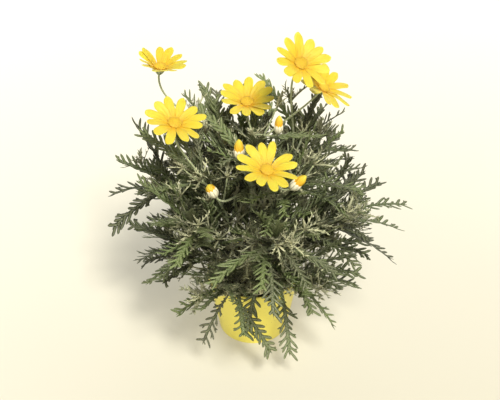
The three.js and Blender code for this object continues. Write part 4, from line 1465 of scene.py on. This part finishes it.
def pot_finish(look):
    """Moulded yellow plastic with a satin skin and a few specks of soil, and painted shade in a soil colour
    inside above the soil.
    """
    finish = Finish("pot_plastic", specular_ior_level=0.45, coat_weight=0.08, coat_roughness=0.35)
    haze = finish.noise(22, 4).ramp(0.35, 0.7)
    colour = finish.blend(haze * 0.35, look.colour, look.worn_colour)
    scatter = finish.node("ShaderNodeTexVoronoi", {"Vector": finish.place(), "Scale": 330, "Randomness": 1})
    dust = (1 - scatter.ramp(0.1, 0.2)) * finish.noise(60, 2).ramp(0.52, 0.62)
    x, y, z = (finish.coordinate(i) for i in range(3))
    # Painted shade: the pot's inside above the soil is darkened nearly to the dust colour.
    inside = (z > SOIL_LEVEL) * ((x**2 + y**2) ** 0.5 < RIM_RADIUS - WALL - mm(0.3))
    colour = finish.blend(dust * look.dust, colour, look.dust_and_shade_colour)
    finish.shade(base_color=finish.blend(inside * 0.9, colour, look.dust_and_shade_colour))
    finish.shade(roughness=haze * 0.12 + look.roughness)
    finish.relief(finish.noise(450, 2) + haze * 0.5, mm(0.08), 0.35)
    return finish.material


def soil_finish(look):
    """Near black between grains and brown on them, with paler fibres in patches."""
    finish = Finish("potting_soil", roughness=0.95, specular_ior_level=0.2)
    grain = finish.noise(520, 6)
    fibre = finish.noise(150, 4).ramp(0.55, 0.75)
    colour = finish.blend(grain.ramp(0.35, 0.7), look.deep_colour, look.crumb_colour)
    finish.shade(base_color=finish.blend(fibre * 0.4, colour, look.fibre_colour))
    finish.relief(grain, mm(1.2), 0.9)
    return finish.material


def floor_finish(look):
    """Pale matt paper with a faint haze and its own low light, which grows away from a point in front."""
    finish = Finish("floor_paper", roughness=0.85, specular_ior_level=0.2)
    haze = finish.noise(1.5, 2).ramp(0.3, 0.7)
    finish.shade(base_color=finish.blend(haze * 0.08, look.floor_colour, look.wall_colour))
    away = finish.distance(GLOW_CENTRE).ramp(*GLOW_SPAN)
    finish.shade(emission_color=finish.blend(away, look.near_glow, look.far_glow))
    finish.shade(emission_strength=1)
    return finish.material


# Settings


def colour_setting(name, description, red, green, blue):
    """A colour, given from 0 to 255 as a screen shows it."""
    limits = {"min": 0, "max": 1, "default": tint(red, green, blue)}
    return FloatVectorProperty(name=name, description=description, subtype="COLOR", **limits)


def length_setting(name, description, default):
    """A length in metres."""
    limits = {"min": 0, "default": default, "precision": 5}
    return FloatProperty(name=name, description=description, unit="LENGTH", **limits)


def count_setting(name, description, default, least, most):
    """A whole number between two limits."""
    return IntProperty(name=name, description=description, default=default, min=least, max=most)


def share_setting(name, description, default, least=0, most=1):
    """A share between two limits."""
    limits = {"min": least, "max": most, "default": default}
    return FloatProperty(name=name, description=description, subtype="FACTOR", **limits)


def light_setting(name, description, default):
    """The strength of a light."""
    return FloatProperty(name=name, description=description, default=default, min=0)


class PotSettings(bpy.types.PropertyGroup):
    sides: count_setting("Sides", "Faces round the pot's wall", 128, 24, 256)
    colour: colour_setting("Colour", "The pot's plastic", 252, 238, 108)
    worn_colour: colour_setting("Haze", "Where the plastic is dulled", 247, 228, 102)
    # The dust colour also paints the shade inside the pot above the soil.
    dust_and_shade_colour: colour_setting("Dust", "Specks of soil on the wall", 84, 62, 40)
    dust: share_setting("Dust amount", "How strongly specks show", 0.5)
    roughness: share_setting("Roughness", "Dullness of the skin", 0.36)


class SoilSettings(bpy.types.PropertyGroup):
    relief: length_setting("Relief", "Height of the soil's unevenness", mm(0.8))
    crumbs: count_setting("Crumbs", "Loose lumps on the soil", 260, 0, 600)
    crumb_size: length_setting("Crumb size", "Radius of a middling lump", mm(2))
    deep_colour: colour_setting("Deep colour", "Between the crumbs", 24, 17, 12)
    crumb_colour: colour_setting("Crumb colour", "On top of the crumbs", 62, 46, 34)
    fibre_colour: colour_setting("Fibre colour", "Bits of fibre", 104, 78, 54)


class FoliageSettings(bpy.types.PropertyGroup):
    lobe_width: length_setting("Lobe width", "Width of a lobe near its end", mm(3))
    lobe_pairs: count_setting("Lobe pairs", "Pairs on a full-sized leaf", 7, 3, 12)
    toothed: share_setting("Toothed leaves", "Share of shorter leaves with short lobes", 0.16)
    blade_thickness: length_setting("Blade thickness", "Thickness of a lobe", mm(0.7))
    fill_spacing: length_setting("Tip spacing", "Least distance between added leaves' tips", mm(18))
    fill_tips: count_setting("Tips a shell", "Tips tried on each shell", 140, 0, 900)
    forks: share_setting("Forked lobes", "Share of longer lobes with a tooth", 0.3)
    shoots: count_setting("Shoots", "Side twigs with young leaves on a stem", 13, 1, 20)
    shoot_leaves: count_setting("Shoot leaves", "Leaves in a rosette", 8, 2, 12)
    shoot_length: length_setting("Shoot length", "Length of a young leaf", mm(20.5))
    twig_length: length_setting("Twig length", "Length of a side twig", mm(24))
    leaf_colour: colour_setting("Leaf colour", "Lit patches of a leaf", 86, 108, 46)
    # The deep colour also paints the shade at the plant's two sides.
    deep_colour: colour_setting("Deep leaf colour", "Darker patches of a leaf", 18, 24, 11)
    # Painted shade: the colour of leaves deep inside the crown and of the blades' undersides.
    inner_shade_colour: colour_setting("Inner leaf colour", "Leaves deep inside the crown", 13, 17, 8)
    tip_colour: colour_setting("Tip colour", "Toward a leaf's tip", 112, 128, 64)
    wool_colour: colour_setting("Wool colour", "Down on leaves, shoots and stems", 230, 226, 182)
    stem_colour: colour_setting("Stem colour", "Green stems and stalks", 148, 158, 108)
    bark_colour: colour_setting("Bark colour", "Stems low down", 92, 82, 58)
    bract_colour: colour_setting("Bract colour", "Papery edges of the bracts", 226, 218, 184)


class HeadSettings(bpy.types.PropertyGroup):
    petal_width: share_setting("Petal width", "Share of full width", 0.92, 0.4, 1.3)
    groove_depth: length_setting("Groove depth", "Depth of the two grooves in a petal", mm(0.32))
    florets: count_setting("Florets", "Florets on a disc", 120, 20, 300)
    ray_colour: colour_setting("Petal colour", "Most of a petal", 208, 196, 56)
    ray_root_colour: colour_setting("Petal root colour", "Near the disc and along the veins", 216, 170, 36)
    ray_tip_colour: colour_setting("Petal tip colour", "The petal's end", 216, 208, 84)
    disc_colour: colour_setting("Disc colour", "Shut florets in the middle", 226, 196, 44)
    disc_shade_colour: colour_setting("Floret shade", "Between florets and in folds", 216, 150, 24)
    shut_colour: colour_setting("Shut petal colour", "Low on a bud's rays", 232, 172, 36)


class StageSettings(bpy.types.PropertyGroup):
    floor_colour: colour_setting("Floor colour", "The floor under the plant", 184, 178, 158)
    wall_colour: colour_setting("Far colour", "Round the plant", 236, 229, 206)
    key: light_setting("Key light", "Strength of the main light", 4.05)
    fill: light_setting("Fill light", "Strength of the light from all round", 0.24)
    front: light_setting("Front light", "Strength of the low front light", 1.1)
    back: light_setting("Back light", "Strength of the low light behind", 0.8)
    near_glow: colour_setting("Near glow", "Light of the floor itself, in front", 106, 101, 82)
    far_glow: colour_setting("Far glow", "Light of the floor itself, behind", 196, 196, 190)


# Operators


class BuildPot(bpy.types.Operator):
    """Builds the pot with its rim band, and drills its drainage holes"""

    bl_idname = "bush_daisy.pot"
    bl_label = "Pot"

    def execute(self, context):
        look = context.scene.bush_daisy_pot
        pot = Surface()
        pot.add(turned(pot_profile(), look.sides))
        drilled(pot.piece("pot_wall", pot_finish(look), "pot", ["pot"]))
        return {"FINISHED"}


class BuildSoil(bpy.types.Operator):
    """Builds the bed of soil and the crumbs that lie on it"""

    bl_idname = "bush_daisy.soil"
    bl_label = "Soil"

    def execute(self, context):
        look = context.scene.bush_daisy_soil
        soil = Surface()
        soil.add(soil_bed(look.relief))
        soil.add(crumbs(look.crumbs, look.crumb_size, look.relief))
        soil.piece("soil_bed", soil_finish(look), "soil", ["soil"])
        return {"FINISHED"}


class BuildLeafyStems(bpy.types.Operator):
    """Builds each stem with its stalks and cups, its comb-cut leaves and its woolly shoots"""

    bl_idname = "bush_daisy.leafy_stems"
    bl_label = "Leafy stems"

    def execute(self, context):
        look = context.scene.bush_daisy_foliage
        plant().fill(look.fill_spacing, look.fill_tips)
        leaf, bark, bract = leaf_finish(look), stem_finish(look), cup_finish(look)
        for count, stem in enumerate(plant().stems):
            node = f"leafy_stem_{count + 1:02d}"
            leaves = Surface()
            for each in stem.leaves:
                comb_leaf(leaves, each, look)
            leaves.piece(node + "_leaves", leaf, "foliage", [node])
            stems, young = Surface(), Surface()
            for twig, seed in twigs(stem, count, look):
                stems.add(tube(twig, "twig", *TWIG_RADII))
                for each in rosette(twig, seed, look):
                    comb_leaf(young, each, look)
            young.piece(node + "_shoots", leaf, "foliage", [node])
            stems.add(tube(stem.above, "stem", STEM_RADIUS, STEM_TIP_RADIUS))
            stems.add(tube(Bezier(stem.root, stem.above.controls[0]), "foot", STEM_RADIUS, STEM_RADIUS))
            for _, stalk in stem.stalks:
                stems.add(tube(stalk, "stalk", STALK_RADIUS, STALK_RADIUS))
            stems.piece(node + "_wood", bark, "foliage", [node])
            if stem.stalks:
                cups = Surface()
                for head, _ in stem.stalks:
                    cup(cups, head)
                cups.piece(node + "_cups", bract, "foliage", [node])
        return {"FINISHED"}


class BuildHeads(bpy.types.Operator):
    """Builds the rays and the disc of each open head"""

    bl_idname = "bush_daisy.heads"
    bl_label = "Open heads"

    def execute(self, context):
        look = context.scene.bush_daisy_heads
        petal, floret = petal_finish(look), floret_finish(look)
        for count, head in enumerate(HEADS):
            node = f"bloom_{count + 1:02d}"
            rays, disc = Surface(), Surface()
            petals(rays, head, count, look)
            rays.piece(node + "_petals", petal, "rays", [node + "_rays"])
            florets(disc, head, look)
            disc.piece(node + "_florets", floret, "disc", [node + "_disc"])
        return {"FINISHED"}


class BuildBuds(bpy.types.Operator):
    """Builds the folded rays of each bud"""

    bl_idname = "bush_daisy.buds"
    bl_label = "Buds"

    def execute(self, context):
        finish = fold_finish(context.scene.bush_daisy_heads)
        for count, bud in enumerate(BUDS):
            node = f"bud_{count + 1:02d}_rays"
            folded = Surface()
            folded_rays(folded, bud)
            folded.piece(node + "_folded", finish, "rays", [node])
        return {"FINISHED"}


class BuildStage(bpy.types.Operator):
    """Lays the floor, and sets the lights, the surroundings and the camera"""

    bl_idname = "bush_daisy.stage"
    bl_label = "Stage"

    def execute(self, context):
        scene, look = context.scene, context.scene.bush_daisy_stage
        x, y = np.meshgrid([-FLOOR_REACH, FLOOR_REACH], [-FLOOR_REACH, FLOOR_REACH])
        corners = np.stack([x, y, 0 * x], -1).reshape(-1, 3)
        mesh = bpy.data.meshes.new("floor")
        mesh.from_pydata(corners.tolist(), [], [(0, 1, 3, 2)])
        floor = link("floor", mesh)
        floor.data.materials.append(floor_finish(look))
        world = bpy.data.worlds.new("surroundings")
        world.use_nodes = True
        background = world.node_tree.nodes["Background"]
        background.inputs["Color"].default_value = (*look.wall_colour, 1)
        background.inputs["Strength"].default_value = look.fill
        scene.world = world
        for name, set_up in LAMPS.items():
            way = heading(*set_up["from"])
            light = bpy.data.lights.new(name, "SUN")
            light.energy, light.angle = getattr(look, name), math.radians(set_up["spread"])
            lamp = bpy.data.objects.new(name, light)
            lamp.location = way
            lamp.rotation_euler = Vector(-way).to_track_quat("-Z", "Y").to_euler()
            scene.collection.objects.link(lamp)
        camera = bpy.data.cameras.new("camera")
        camera.lens, camera.sensor_width = CAMERA["lens"], CAMERA["sensor"]
        eye = bpy.data.objects.new("camera", camera)
        eye.location = CAMERA["place"]
        eye.rotation_euler = (math.radians(CAMERA["tilt"]), 0, 0)
        scene.collection.objects.link(eye)
        scene.camera = eye
        scene.view_settings.view_transform = "Standard"
        return {"FINISHED"}


class BushDaisyPanel(bpy.types.Panel):
    bl_label = "Bush Daisy"
    bl_idname = "VIEW3D_PT_bush_daisy"
    bl_space_type = "VIEW_3D"
    bl_region_type = "UI"
    bl_category = "Bush Daisy"

    def draw(self, context):
        for operator, settings in STEPS:
            box = self.layout.box()
            box.operator(operator.bl_idname)
            look = getattr(context.scene, settings)
            for name in look.bl_rna.properties.keys():
                if name not in ("rna_type", "name"):
                    box.prop(look, name)


STEPS = [
    (BuildPot, "bush_daisy_pot"),
    (BuildSoil, "bush_daisy_soil"),
    (BuildLeafyStems, "bush_daisy_foliage"),
    (BuildHeads, "bush_daisy_heads"),
    (BuildBuds, "bush_daisy_heads"),
    (BuildStage, "bush_daisy_stage"),
]
SETTINGS = {
    "bush_daisy_pot": PotSettings,
    "bush_daisy_soil": SoilSettings,
    "bush_daisy_foliage": FoliageSettings,
    "bush_daisy_heads": HeadSettings,
    "bush_daisy_stage": StageSettings,
}
CLASSES = [*SETTINGS.values(), *(operator for operator, _ in STEPS), BushDaisyPanel]


def register():
    for each in CLASSES:
        bpy.utils.register_class(each)
    for name, settings in SETTINGS.items():
        setattr(bpy.types.Scene, name, PointerProperty(type=settings))


def unregister():
    for name in SETTINGS:
        delattr(bpy.types.Scene, name)
    for each in reversed(CLASSES):
        bpy.utils.unregister_class(each)


def main():
    """Runs every operator in turn."""
    register()
    bpy.ops.bush_daisy.pot()
    bpy.ops.bush_daisy.soil()
    bpy.ops.bush_daisy.leafy_stems()
    bpy.ops.bush_daisy.heads()
    bpy.ops.bush_daisy.buds()
    bpy.ops.bush_daisy.stage()


if __name__ == "__main__":
    main()
